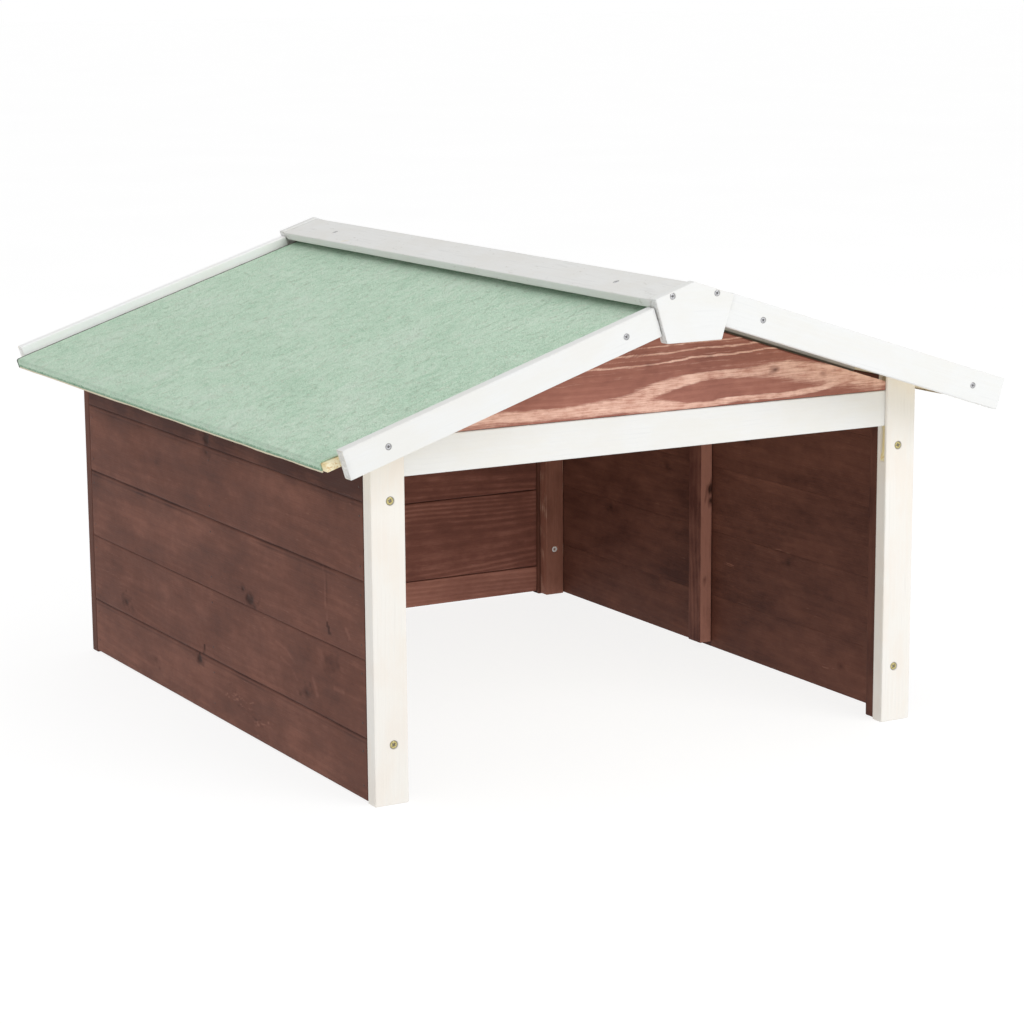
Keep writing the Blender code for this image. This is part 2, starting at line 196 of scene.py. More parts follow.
def new_mesh(name, points, quads, attributes, axes=np.eye(3)):
    """A smooth mesh, from points along some axes, with named numbers or vectors at them."""
    points = points @ axes.T
    if np.linalg.det(axes) < 0:
        quads = quads[:, ::-1]
    mesh = bpy.data.meshes.new(name)
    mesh.vertices.add(len(points))
    mesh.vertices.foreach_set("co", points.astype(np.float32).ravel())
    mesh.loops.add(quads.size)
    mesh.loops.foreach_set("vertex_index", quads.astype(np.int32).ravel())
    mesh.polygons.add(len(quads))
    mesh.polygons.foreach_set("loop_start", np.arange(0, quads.size, 4, dtype=np.int32))
    mesh.update(calc_edges=True)
    for key, values in attributes.items():
        kind, field = ("FLOAT_VECTOR", "vector") if values.ndim == 2 else ("FLOAT", "value")
        layer = mesh.attributes.new(key, kind, "POINT")
        layer.data.foreach_set(field, values.astype(np.float32).ravel())
    mesh.shade_smooth()
    mesh.set_sharp_from_angle(angle=math.radians(50))
    return mesh


def show(name, mesh, material, replaces=None):
    """Puts a mesh in the scene as a piece that rides on the shelter."""
    piece = bpy.data.objects.new(name, mesh)
    bpy.context.scene.collection.objects.link(piece)
    if not mesh.materials:
        mesh.materials.append(material)
    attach(piece, "root")
    if replaces:
        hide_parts(replaces)
    return piece


# ---------------------------------------------------------------- timber
class Log(NamedTuple):
    """Where a board was sawn from: its pith, seen from the middle of the board."""

    across: float = 0.03
    depth: float = 0.035
    lean: tuple = (0.0, 0.02)
    ring: float = 0.0045
    sway: float = 0.003


def growth(local, middle, log, knots, seed):
    """Growth rings from the pith, and nearness to a knot: 1 inside, 0.5 at its rim."""
    u, v, w = (local - middle).T
    across = v - log.across - log.lean[0] * u
    inward = w - log.depth - log.lean[1] * u
    radius = np.hypot(across, inward)
    radius = radius + log.sway * wobble(local, (0.3, 0.06, 0.06), seed)
    nearness = np.zeros(len(local))
    uneven = 1 + 0.4 * wobble(local, (0.009, 0.005, 0.006), seed + 4)
    for knot_u, knot_v, size, strength in knots:
        along, beside = local[:, 0] - knot_u, local[:, 1] - knot_v
        bend = np.exp(-((along / (3.2 * size)) ** 2 + (beside / (1.8 * size)) ** 2))
        radius = radius + 0.9 * size * bend
        reach = np.hypot(along / 1.7, beside) / size * uneven
        near = strength * np.clip(1.0 - reach / 2, 0.0, 1.0)
        nearness = np.maximum(nearness, near)
    years = radius / log.ring + 1.2 * np.sin(radius * 60.0 + seed % 7)
    return years, nearness


def timber(node, axes, finish, log=Log(), knots=(), spacing=SPACING, radius=EDGE_RADIUS,
           shape=None, extra=((), (), ()), relief=0.00005, warp=0.00012, ragged=0.0,
           sinks=(), tone=0.0, pale=None, bare=None):
    """Replaces a CAD board with a finely meshed one that fills the same space.

    shape reshapes the box (local points, box points) for mitres, sloping tops and grooves.
    relief is the depth of the grain, warp of the slow unevenness and ragged of the cut ends.
    A knot is (u, v, radius, strength). A sink is (u, v, w, radius) of a countersunk screw.
    tone, lighter above 0, is a number or comes from (local points, box points, normals); it also
    carries painted shade and painted light.
    """
    seed = seed_of(node)
    low, high = node_range(node, axes)
    marks = [(knot[:2], knot[2] * KNOT_REACH) for knot in knots]
    marks += [(sink[:2], sink[3] * SINK_REACH) for sink in sinks]
    lines = []
    for axis in range(3):
        around = [place[axis] + reach[axis] * share for place, reach in marks
                  for share in MARK_LINES if axis < 2]
        around = [place for place in around if low[axis] + radius < place < high[axis] - radius]
        lines.append(grid_lines(low[axis], high[axis], spacing[axis], radius,
                                [*extra[axis], *around]))
    box, quads = box_surface(lines)
    local, normals = round_off(box, low, high, radius)
    if shape:
        local = shape(local, box)
    rings, nearness = growth(local, (low + high) / 2, log, knots, seed)

    band = 0.5 + 0.5 * np.cos(2 * math.pi * rings)
    depth = relief * band + warp * (0.6 + 0.4 * wobble(local, (0.16, 0.05, 0.05), seed + 1))
    end = normals[:, 0] ** 2
    depth = depth + ragged * end * patchy(local, (0.01, 0.004, 0.003), seed + 2)
    depth = depth + KNOT_DEPTH * smooth_step(nearness, 0.5, 0.9) * (1 - end)
    at_edge = np.abs(normals).max(1) < 0.9
    depth = depth + at_edge * CHIP_DEPTH * patchy(local, (0.012, 0.01, 0.01), seed + 3)
    zero = painted_shade = np.zeros(len(box))
    for sink_u, sink_v, sink_w, head in sinks:
        at_face = np.abs(box[:, 2] - sink_w) < 0.002
        away = np.hypot(local[:, 0] - sink_u, local[:, 1] - sink_v) / head
        depth = depth + at_face * fade(away, 1.02, 1.3) * SINK_DEPTH
        # Painted shade: a dark ring round each sunken screw head, in its hole
        painted_shade = np.maximum(painted_shade, at_face * fade(away, 1.05, 1.28))
    final = local - normals * np.clip(depth, 0.0, DEEPEST)[:, None]

    to_face = np.minimum(box - low, high - box)
    rim = np.sort(to_face, axis=1)[:, 1]
    shade = tone(local, box, normals) if callable(tone) else tone
    shift = np.random.default_rng(seed).uniform(-9.0, 9.0, 3)
    attributes = {
        "grain": local + shift,
        # the third mark is a pale figure, or painted shade for painted timber
        "mark": np.stack([rings, nearness, pale(local) if pale else painted_shade], 1),
        "edge": np.stack([rim, end, bare(local, box) if bare else zero], 1),
        "tone": zero + shade,
    }
    mesh = new_mesh(node + "_timber", final, quads, attributes, axes)
    return show(node + "_timber", mesh, finish, node)


# ---------------------------------------------------------------- materials
class Recipe:
    """Adds nodes to one material and wires them up; noise follows its place."""

    def __init__(self, name, place="grain", **sockets):
        self.material = bpy.data.materials.new(name)
        self.material.use_nodes = True
        self.tree = self.material.node_tree
        self.shader = self.tree.nodes["Principled BSDF"]
        for socket, value in sockets.items():
            self.put(self.shader.inputs[socket.replace("_", " ")], value)
        if place == "grain":
            self.place = self.attribute("grain")
        else:
            self.place = self.node("TexCoord", output=place)

    def put(self, socket, value):
        if isinstance(value, bpy.types.NodeSocket):
            self.tree.links.new(value, socket)
        else:
            socket.default_value = value

    def node(self, kind, inputs=(), output=0, **settings):
        """Adds a node, sets its inputs by place or name, and returns one of its outputs."""
        node = self.tree.nodes.new("ShaderNode" + kind)
        for key, value in settings.items():
            setattr(node, key, value)
        for socket, value in dict(inputs).items():
            self.put(node.inputs[socket], value)
        return node.outputs[output]

    def attribute(self, name, output="Vector"):
        return self.node("Attribute", output=output, attribute_name=name)

    def parts(self, name):
        """The three numbers of a vector attribute."""
        return tuple(self.node("SeparateXYZ", {0: self.attribute(name)}).node.outputs)

    def math(self, operation, a, b=0.0, c=0.0):
        return self.node("Math", {0: a, 1: b, 2: c}, operation=operation)

    def wave(self, rings):
        """A wave with one crest for each growth ring."""
        return self.math("SINE", self.math("MULTIPLY", rings, 2 * math.pi))

    def noise(self, scale, detail=3.0, roughness=0.55, distortion=0.0):
        """Noise whose bumps have a size of one over scale; the last scale given repeats."""
        scale = (*scale, scale[-1])[:3]
        place = self.node("VectorMath", {0: self.place, 1: scale}, operation="MULTIPLY")
        inputs = {"Vector": place, "Scale": 1.0, "Detail": detail,
                  "Roughness": roughness, "Distortion": distortion}
        return self.node("TexNoise", inputs)

    def remap(self, value, low, high, new_low=0.0, new_high=1.0):
        inputs = {0: value, 1: low, 2: high, 3: new_low, 4: new_high}
        return self.node("MapRange", inputs, interpolation_type="SMOOTHSTEP")

    def total(self, base, *terms):
        """base plus each (value, weight), where the value is centred on a half."""
        result = base
        for value, weight in terms:
            centred = self.math("SUBTRACT", value, 0.5)
            result = self.math("MULTIPLY_ADD", centred, weight, result)
        return result

    def ramp(self, value, *stops):
        node = self.node("ValToRGB", {0: value}).node
        elements = node.color_ramp.elements
        while len(elements) < len(stops):
            elements.new(0.5)
        for element, (place, colour) in zip(elements, stops):
            element.position = place
            element.color = (*colour, 1.0)
        return node.outputs[0]

    def mix(self, share, a, b):
        colours = [value if isinstance(value, bpy.types.NodeSocket) else (*value, 1.0)
                   for value in (a, b)]
        inputs = {0: share, 6: colours[0], 7: colours[1]}
        return self.node("Mix", inputs, output=2, data_type="RGBA")

    def tint(self, colour, other, value, low, high, most=1.0):
        """Blends a colour into another as a value rises from low to high."""
        return self.mix(self.remap(value, low, high, 0.0, most), colour, other)

    def surface(self, colour, roughness, height, distance):
        """Colour, roughness and relief of the material."""
        self.put(self.shader.inputs["Base Color"], colour)
        self.put(self.shader.inputs["Roughness"], roughness)
        bump = self.node("Bump", {"Height": height, "Distance": distance, "Strength": 1.0})
        self.put(self.shader.inputs["Normal"], bump)
        return self.material


def linear(red, green, blue):
    """A screen colour, 0 to 255, as linear light."""
    return tuple(((value / 255 + 0.055) / 1.055) ** 2.4 for value in (red, green, blue))


PINE_DARK = linear(218, 182, 126)
PINE_MIDDLE = linear(246, 230, 182)
PINE_LIGHT = linear(252, 244, 212)
PINE_KNOT = linear(140, 88, 52)
PALE_GRAIN = linear(240, 202, 184)
PALE_DARK = linear(198, 146, 128)
KNOT_BROWN = linear(58, 36, 30)
GRIME = linear(168, 162, 150)
# Dark brown of painted shade and painted shadow lines
PAINTED_SHADOW = linear(70, 65, 58)
FELT_DEEP = linear(112, 156, 126)
FELT_DARK = linear(176, 210, 184)
FELT_MIDDLE = linear(204, 229, 207)
FELT_LIGHT = linear(228, 240, 225)
FELT_FLECK = linear(240, 244, 226)
FELT_GREY = linear(212, 226, 213)
FELT_BACKING = linear(232, 222, 196)
NAIL_DARK = linear(38, 25, 22)
NAIL_LIGHT = linear(66, 46, 40)
RECESS_DARK_STEEL = (0.035, 0.032, 0.028)


def pine_colour(recipe, ring):
    """The colour of bare pine: pale early wood with darker late wood lines."""
    late = recipe.remap(recipe.wave(ring), 0.1, 1.0)
    fibres = recipe.noise((50, 900))
    value = recipe.total(0.62, (fibres, 0.5), (late, -0.35))
    return recipe.ramp(value, (0.1, PINE_DARK), (0.5, PINE_MIDDLE), (0.9, PINE_LIGHT))


def stained_timber(name, dark, middle, light, bands, scuffs, pooling_and_shade):
    """Brown stain that soaks in unevenly, from screen colours.

    bands is how far the rings show through it, scuffs how worn it is and pooling_and_shade how
    much darker it is at the edges, from stain pooled there and painted shade in the joints.
    """
    dark, middle, light = linear(*dark), linear(*middle), linear(*light)
    recipe = Recipe(name, Specular_IOR_Level=0.1)
    ring, knot, pale = recipe.parts("mark")
    rim, end, _ = recipe.parts("edge")
    tone = recipe.attribute("tone", "Fac")
    fibres = recipe.noise((45, 850), 4)
    streaks = recipe.noise((7, 150), 4, 0.6)
    blotches = recipe.noise((13, 24), 4, 0.6)
    mottle = recipe.noise((70, 110), 5, 0.7)
    late = recipe.wave(recipe.total(ring, (streaks, 0.55), (blotches, 0.8)))
    late = recipe.remap(late, -0.6, 1.0)
    late = recipe.math("MULTIPLY", late, recipe.remap(blotches, 0.34, 0.62, 0.25, 1.0))
    # tone holds the board's tone and its painted shade and painted light
    value = recipe.math("ADD", 0.5, tone)
    value = recipe.total(value, (fibres, 0.22), (streaks, 0.2), (blotches, 0.46),
                         (mottle, 0.26), (late, bands))
    value = recipe.math("MULTIPLY_ADD", end, -0.22, value)
    colour = recipe.ramp(value, (0.12, dark), (0.5, middle), (0.9, light))

    pale_colour = recipe.ramp(recipe.total(0.5, (fibres, 0.9), (mottle, 0.9)),
                              (0.25, PALE_DARK), (0.75, PALE_GRAIN))
    patchy = recipe.total(pale, (fibres, 0.8), (streaks, 0.5), (mottle, 0.5))
    colour = recipe.tint(colour, pale_colour, patchy, 0.18, 0.92)

    rough_knot = recipe.total(knot, (blotches, 0.16), (fibres, 0.1))
    colour = recipe.tint(colour, dark, rough_knot, 0.08, 0.6, 0.5)
    colour = recipe.tint(colour, KNOT_BROWN, rough_knot, 0.48, 0.8, 0.85)

    scratch = recipe.remap(recipe.noise((40, 420), 2, 0.5, 1.2), 0.66, 0.76)
    worn = recipe.remap(recipe.noise((9, 14), 2), 0.52, 0.68, 0.0, scuffs)
    colour = recipe.mix(recipe.math("MULTIPLY", scratch, worn), colour, light)
    # Darker at the edges: pooled stain, and painted shade where boards meet
    colour = recipe.mix(recipe.remap(rim, 0.0, 0.0022, pooling_and_shade, 0.0), colour, dark)

    roughness = recipe.total(0.6, (fibres, 0.18), (blotches, 0.22))
    height = recipe.total(0.5, (fibres, 0.75), (late, bands), (mottle, 0.3), (scratch, -0.1))
    return recipe.surface(colour, roughness, height, 0.00035)


def painted_timber(name, shade, paint, warm, brushed=0.5, dirt=0.0):
    """Thin paint on planed timber, from screen colours: brush marks, faint grain and knots."""
    recipe = Recipe(name, Specular_IOR_Level=0.35)
    ring, knot, painted_shade = recipe.parts("mark")
    rim, end, bare = recipe.parts("edge")
    marks = recipe.noise((14, 320))
    fibres = recipe.noise((60, 1100))
    patches = recipe.noise((16, 30))
    late = recipe.remap(recipe.wave(recipe.total(ring, (marks, 0.5))), 0.0, 1.0)
    value = recipe.total(0.66, (marks, brushed), (patches, 0.45), (late, -0.1))
    value = recipe.math("MULTIPLY_ADD", end, -0.18, value)
    colour = recipe.ramp(value, (0.1, linear(*shade)), (0.6, linear(*paint)))
    warmth = recipe.total(patches, (marks, 0.3))
    colour = recipe.tint(colour, linear(*warm), warmth, 0.35, 0.7, 0.65)
    colour = recipe.tint(colour, PINE_MIDDLE, knot, 0.3, 0.62, 0.16)
    grime = recipe.noise((90, 240), 4, 0.65)
    colour = recipe.tint(colour, GRIME, grime, 0.6, 0.78, dirt)
    # Painted shade: round sunken screw heads and along the roof battens' shadow line
    colour = recipe.mix(recipe.math("MULTIPLY", painted_shade, 0.8), colour, PAINTED_SHADOW)
    torn = recipe.remap(recipe.noise((200, 380), 4, 0.7), 0.44, 0.6, 0.0, 0.28)
    torn = recipe.math("MULTIPLY", end, torn)
    colour = recipe.mix(torn, colour, GRIME)

    worn = recipe.noise((120, 700), 3, 0.6)
    at_rim = recipe.remap(rim, 0.0, 0.0009, 0.32, 0.0)
    raw = recipe.total(recipe.math("ADD", bare, at_rim), (worn, 0.55))
    raw = recipe.remap(raw, 0.34, 0.46)
    colour = recipe.mix(raw, colour, pine_colour(recipe, ring))
    roughness = recipe.total(0.5, (patches, 0.2), (marks, 0.15))
    height = recipe.total(0.5, (fibres, 0.35), (marks, 0.5), (late, 0.15), (raw, -0.5),
                          (torn, -3.0))
    return recipe.surface(colour, roughness, height, 0.00022)


def raw_pine(name):
    """Unpainted roof boards, with orange-brown knots and torn sawn ends."""
    recipe = Recipe(name, Specular_IOR_Level=0.25)
    ring, knot, _ = recipe.parts("mark")
    _, end, _ = recipe.parts("edge")
    streaks = recipe.noise((9, 120))
    fibres = recipe.noise((50, 900))
    colour = pine_colour(recipe, recipe.total(ring, (streaks, 0.4)))
    colour = recipe.tint(colour, PINE_DARK, streaks, 0.35, 0.75, 0.35)
    colour = recipe.tint(colour, PINE_KNOT, recipe.total(knot, (fibres, 0.15)), 0.45, 0.65, 0.9)
    torn = recipe.noise((200, 420), 4, 0.7)
    sawn = recipe.ramp(torn, (0.4, PINE_DARK), (0.5, PINE_LIGHT))
    colour = recipe.mix(recipe.math("MULTIPLY", end, 0.75), colour, sawn)
    roughness = recipe.total(0.72, (fibres, 0.2))
    return recipe.surface(colour, roughness, recipe.total(0.5, (fibres, 0.8)), 0.0003)


def mineral_felt(name):
    """Green slate-chipped roofing felt: fine chips, short pale hairs and pressed patches."""
    recipe = Recipe(name, Specular_IOR_Level=0.12)
    gap, _, bare = recipe.parts("edge")
    chips = recipe.noise((620,) * 3, 2, 0.7)
    specks = recipe.noise((150, 380, 400), 2, 0.7, 2.4)
    crossing = recipe.noise((320, 170, 300), 2, 0.7, 2.4)
    streaks = recipe.noise((42, 70, 60), 6, 0.75, 1.4)
    patches = recipe.noise((11,) * 3, 5, 0.65, 0.6)
    value = recipe.total(0.57, (chips, 0.35), (specks, 0.75), (crossing, 0.5), (streaks, 0.6),
                         (patches, 0.34))
    colour = recipe.ramp(value, (0.1, FELT_DEEP), (0.38, FELT_DARK), (0.58, FELT_MIDDLE),
                         (0.92, FELT_LIGHT))
    colour = recipe.tint(colour, FELT_GREY, patches, 0.52, 0.7, 0.25)
    curls = recipe.noise((58, 105, 100), 2, 0.5, 1.8)
    off_curl = recipe.math("ABSOLUTE", recipe.math("SUBTRACT", curls, 0.5))
    where = recipe.noise((85, 110, 100), 3, 0.6)
    hairs = recipe.math("MULTIPLY", recipe.remap(off_curl, 0.004, 0.016, 1.0, 0.0),
                        recipe.remap(where, 0.46, 0.58))
    colour = recipe.mix(recipe.math("MULTIPLY", hairs, 0.75), colour, FELT_FLECK)
    folded = recipe.total(bare, (crossing, 1.6), (streaks, 1.4))
    colour = recipe.tint(colour, FELT_DEEP, folded, 0.4, 0.85, 0.8)
    colour = recipe.tint(colour, FELT_BACKING, bare, 1.02, 1.15)
    # gap is painted shadow along the felt's rear edge
    colour = recipe.mix(recipe.math("MULTIPLY", gap, 0.9), colour, PAINTED_SHADOW)
    roughness = recipe.total(0.92, (chips, 0.12))
    height = recipe.total(0.5, (chips, 0.4), (specks, 0.5), (crossing, 0.4), (streaks, 0.2),
                          (hairs, 0.35))
    return recipe.surface(colour, roughness, height, 0.002)


def plated_steel(name, bright, tint, metallic=1.0):
    """Zinc-plated screw steel with a patchy tint, darker in its recess."""
    recipe = Recipe(name, "Object", Metallic=metallic)
    patches = recipe.noise((700,) * 3)
    scratches = recipe.noise((3000, 600, 900), 2)
    recess_darkening = recipe.attribute("recess", "Fac")
    colour = recipe.mix(recipe.remap(patches, 0.35, 0.65), bright, tint)
    colour = recipe.tint(colour, RECESS_DARK_STEEL, recess_darkening, 0.0, 0.8, 0.8)
    roughness = recipe.total(0.32, (patches, 0.25), (scratches, 0.15))
    return recipe.surface(colour, roughness, scratches, 0.00004)


def dark_nail(name):
    """The stained-over heads of fine nails."""
    recipe = Recipe(name, "Object", Specular_IOR_Level=0.5)
    patches = recipe.noise((900,) * 3)
    colour = recipe.ramp(patches, (0.3, NAIL_DARK), (0.7, NAIL_LIGHT))
    return recipe.surface(colour, recipe.total(0.5, (patches, 0.3)), patches, 0.0001)


BROWN = stained_timber("brown stained timber", (72, 42, 35), (109, 70, 58), (146, 99, 84),
                       0.05, 0.55, 0.12)
RIBBED_BROWN = stained_timber("ribbed brown timber", (78, 46, 39), (124, 79, 68),
                              (166, 114, 99), 0.17, 0.3, 0.3)
LIGHT_BROWN = stained_timber("light brown timber", (82, 48, 41), (134, 90, 77),
                             (178, 126, 110), 0.1, 0.3, 0.2)
GABLE = stained_timber("gable stained timber", (112, 68, 60), (160, 107, 93),
                       (192, 138, 122), 0.08, 0.15, 0.3)
POST_WHITE = painted_timber("warm white painted timber", (218, 213, 205), (238, 235, 229),
                            (236, 228, 218))
TRIM_WHITE = painted_timber("white painted timber", (216, 217, 216), (232, 233, 232),
                            (230, 229, 224))
CAP_GREY = painted_timber("grey-white painted timber", (200, 199, 196), (232, 232, 230),
                          (227, 225, 220), 0.7, 0.5)
# The roof battens are white, greyed here as painted shade for their place under the roof
BATTEN_WHITE_PAINTED_SHADE = painted_timber("white batten greyed by painted shade", (136, 138, 139), (188, 189, 190),
                             (178, 178, 176), 0.8, 0.6)
# The rear bargeboards' white, lighter than the front trim's: painted light
TRIM_WHITE_PAINTED_LIGHT = painted_timber("white painted timber with painted light", (238, 239, 238),
                              (250, 250, 250), (248, 247, 243))
PINE = raw_pine("raw pine")
FELT = mineral_felt("green mineral felt")
YELLOW_ZINC = plated_steel("yellow zinc", (0.66, 0.58, 0.27), (0.42, 0.35, 0.16))
GREY_ZINC = plated_steel("grey zinc", (0.68, 0.68, 0.7), (0.4, 0.4, 0.42))
# Lighter zinc for the rear batten screws, which sit in shade: painted light
ZINC_PAINTED_LIGHT = plated_steel("zinc with painted light", (0.98, 0.98, 0.98), (0.8, 0.8, 0.82), 0.3)
NAIL = dark_nail("stained nail")


# ---------------------------------------------------------------- front frame
GROOVE_DEPTH = 0.0073
SAW_RADIUS = 0.035
GROOVE_START = 0.306                 # height where the groove in a front post is full depth
RUN_OUT = 0.024                      # height of the finer mesh where it runs out below that
# From the foremost face of a post to the boards in its groove
LIPS = {"front": 0.0035, "rear": 0.0053}
PANEL_THICK = 0.0072
TONGUE_LINE = 0.0055                 # mesh line across the lintel's ends, in from the back
TONGUE_CUT = 0.00563                 # what is cut off them there
GABLE_GAP = 0.008                    # between the gable board and the roof boards
BACK_GAP = 0.005                     # and the back boards and the roof boards
STEP = 1e-4                          # from a step in a board to the mesh line on either side
POST_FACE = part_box("front_post_right")[0].x - 0.0002     # just short of the inner face

SCREW_RADIUS = 0.0038                # of the heads in the front posts and rear battens
SCREW_HEIGHTS = (0.0605, 0.3015)
SMALL_HEAD = 0.0027                  # radius of the heads in the roof trim
HEAD_SUNK = 0.0003                   # depth of the small heads below the face

# Thin pale lines above the flame: height at the middle, rise along X, strength, width, reach
GABLE_LINES = ((0.4, 0.028, 0.28, 0.003, 0.22), (0.4065, 0.034, 0.3, 0.0015, 0.2),
               (0.4112, 0.034, 0.85, 0.0016, 0.19), (0.415, 0.034, 0.35, 0.001, 0.17),
               (0.4205, 0.026, 0.85, 0.0016, 0.16), (0.424, 0.024, 0.35, 0.001, 0.15),
               (0.428, 0.018, 0.75, 0.0014, 0.14))
GABLE_SMUDGES = ((-0.009, 0.41, 0.003, 0.55), (0.065, 0.413, 0.0026, 0.55),
                 (0.1455, 0.3935, 0.003, 0.7), (0.205, 0.385, 0.0026, 0.5))


def middle_of(node, axis):
    low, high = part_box(node)
    return (low[axis] + high[axis]) / 2


def wall_sinks(screw, face):
    """The sunken holes of the two screws one above the other in a post or a rear batten."""
    return [(height, middle_of(screw, 0), face, SCREW_RADIUS) for height in SCREW_HEIGHTS]


def sloping_top(local, box):
    """Lowers the upper end of an upright (u is Z, v is X) to the line under the roof."""
    high = box[:, 0].max()
    top = np.minimum(roof_height(local[:, 1], SKIN), high)
    local[:, 0] += (top - high) * smooth_step(local[:, 0], high - 0.05, high)
    return local


def build_posts():
    """Front posts in white with a run-out groove, rear posts in brown with a full one."""
    for end_name, side_name in itertools.product(ENDS, SIDES):
        side, is_front = SIDES[side_name], end_name == "front"
        node = f"{end_name}_post_{side_name}"
        low, high = node_range(node, UPRIGHT)
        inner = low[1] if side > 0 else high[1]
        first = low[2] + LIPS[end_name] - SKIN
        last = first + PANEL_THICK
        lips = [first - STEP, first + STEP, last - STEP, last + STEP]

        def groove(box):
            at_face = np.abs(box[:, 1] - inner) < TINY
            return at_face & (box[:, 2] > first) & (box[:, 2] < last)

        def shape(local, box):
            below = np.clip(GROOVE_START - local[:, 0], 0.0, SAW_RADIUS - TINY) * is_front
            depth = GROOVE_DEPTH - SAW_RADIUS + np.sqrt(SAW_RADIUS**2 - below**2)
            local = sloping_top(local, box)
            local[:, 1] += side * np.clip(depth, 0.0, GROOVE_DEPTH) * groove(box)
            return local

        def bare(local, box):
            return groove(box) & (np.abs(local[:, 1] - inner) > 0.0009)

        if is_front:
            run_out = np.arange(GROOVE_START - RUN_OUT, GROOVE_START, 0.002)
            timber(node, UPRIGHT, POST_WHITE, Log(0.05, 0.02, ring=0.005),
                   shape=shape, extra=(run_out, (), lips), bare=bare, relief=0.00003,
                   sinks=wall_sinks(f"front_post_screw_{side_name}_upper", low[2]))
        else:
            timber(node, UPRIGHT, BROWN, Log(0.06, 0.02), shape=shape,
                   extra=((), (), lips), tone=-0.12)


def build_lintel():
    """The lintel, whose ends are thinned from behind to enter the grooves of the posts."""
    def shape(local, box):
        back = box[:, 2].min()
        tongue = (np.abs(box[:, 0]) > POST_FACE) & (box[:, 2] < back + TONGUE_LINE)
        local[tongue, 2] = back + TONGUE_CUT
        return local

    steps = [side * POST_FACE + shift for side in (-1, 1) for shift in (-STEP, STEP)]
    tongue_line = -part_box("front_lintel")[1].y + TONGUE_LINE
    timber("front_lintel", ACROSS, TRIM_WHITE, Log(0.08, 0.03, ring=0.006),
           shape=shape, extra=(steps, (), (tongue_line,)), relief=0.00003)


def gable_pale(local):
    """The pale flame figure in the gable board: a band that parts round a dark lens."""
    x, z = local[:, 0], local[:, 1]
    z = z + 0.001 * wobble(local, (0.05, 0.02, 0.02), 5)
    z = z + 0.0004 * wobble(local, (0.012, 0.006, 0.006), 6)
    axis = 0.3697 + 0.011 * smooth_step(x, -0.09, 0.09) - 0.002 * smooth_step(x, 0.12, 0.28)
    lens = 0.0141 * smooth_step(x, -0.06, 0.05) * fade(x, 0.15, 0.28)
    above, below = z - axis - lens, z - axis + lens
    wide = 0.005 + 0.0022 * smooth_step(x, -0.11, -0.02) - 0.0042 * smooth_step(x, -0.01, 0.06)
    upper = wide + 0.0015 + 0.0045 * smooth_step(x, 0.1, 0.2)
    inner_edge = upper * (1 + 1.1 * smooth_step(x, 0.08, 0.18) * (above < 0))
    band = np.maximum(fade(np.abs(above), upper * 0.5, inner_edge * 1.35),
                      fade(np.abs(below), wide * 0.45, wide * 1.5))
    fibre = (above + 0.1 * x) * 4200 + 2.2 * wobble(local, (0.06, 0.01, 0.01), 7)
    band = band * (0.78 + 0.22 * (0.5 + 0.5 * np.sin(fibre)))
    lines = 0.55 * smooth_step(-x, 0.07, 0.2) * fade(np.abs(z - 0.3645), 0.001, 0.012)
    for height, rise, strength, thick, reach in GABLE_LINES:
        line = height + rise * x + 0.0006 * np.sin(x * 31 + height * 900)
        narrow = fade(np.abs(z - line), thick * 0.25, thick)
        to_end = smooth_step(reach - np.abs(x - 0.03), 0, 0.06)
        lines = np.maximum(lines, strength * narrow * to_end)
    return np.maximum(band, lines)


def stretch(local, low, high, bottom, top):
    """Moves a board's lower and upper edges, at v of low and high, to a bottom and a top."""
    share = (local[:, 1] - low[1]) / (high[1] - low[1])
    local[:, 1] = bottom + share * (top - bottom)
    return local


def under_roof(node, gap):
    """A shape that squeezes a board across the house to a line under the roof."""
    low, high = node_range(node, ACROSS)

    def shape(local, box):
        top = np.clip(roof_height(local[:, 0], gap), low[1] + SKIN, high[1])
        return stretch(local, low, high, low[1], top)

    return shape


def build_gable_board():
    def tone(local, box, normals):
        # Painted shadow: a dark line along the top edge, in the gap under the roof battens
        to_top = roof_height(local[:, 0], GABLE_GAP) - local[:, 1]
        return -0.9 * fade(to_top, 0.0004, 0.0016)

    timber("front_gable_board", ACROSS, GABLE,
           Log(-0.05, 0.02, (0.0, 0.0), 0.0052, 0.004), GABLE_SMUDGES, FINE_SPACING, 0.0009,
           under_roof("front_gable_board", GABLE_GAP), ((0.0,), (), ()),
           pale=gable_pale, relief=0.00008, tone=tone)


# ---------------------------------------------------------------- side walls
WALL_BOARDS = 5
# Knots in the wall boards: distance from the front-to-back middle, height, radius, strength
WALL_KNOTS = {
    ("left", 1): [(0.063, 0.058, 0.0052, 0.95), (0.19, 0.03, 0.004, 0.5)],
    ("left", 2): [(0.276, 0.0815, 0.006, 0.75), (0.258, 0.077, 0.004, 0.5),
                          (-0.2118, 0.0815, 0.0055, 0.75), (-0.269, 0.1245, 0.0085, 0.62)],
    ("left", 3): [(-0.078, 0.1512, 0.0062, 1.0), (-0.059, 0.16, 0.004, 0.85)],
    ("left", 4): [(0.17, 0.262, 0.004, 0.5), (0.0289, 0.293, 0.006, 0.75)],
    ("left", 5): [(0.0289, 0.308, 0.006, 1.0)],
    ("right", 1): [(-0.25, 0.034, 0.005, 0.6)],
    ("right", 2): [(0.2408, 0.1342, 0.0055, 0.85), (-0.1464, 0.133, 0.006, 0.75)],
    ("right", 3): [(0.11, 0.205, 0.005, 0.7)],
    ("right", 4): [(-0.06, 0.262, 0.005, 0.8), (0.29, 0.24, 0.004, 0.7)],
    ("right", 5): [(-0.23, 0.322, 0.005, 0.9)],
}
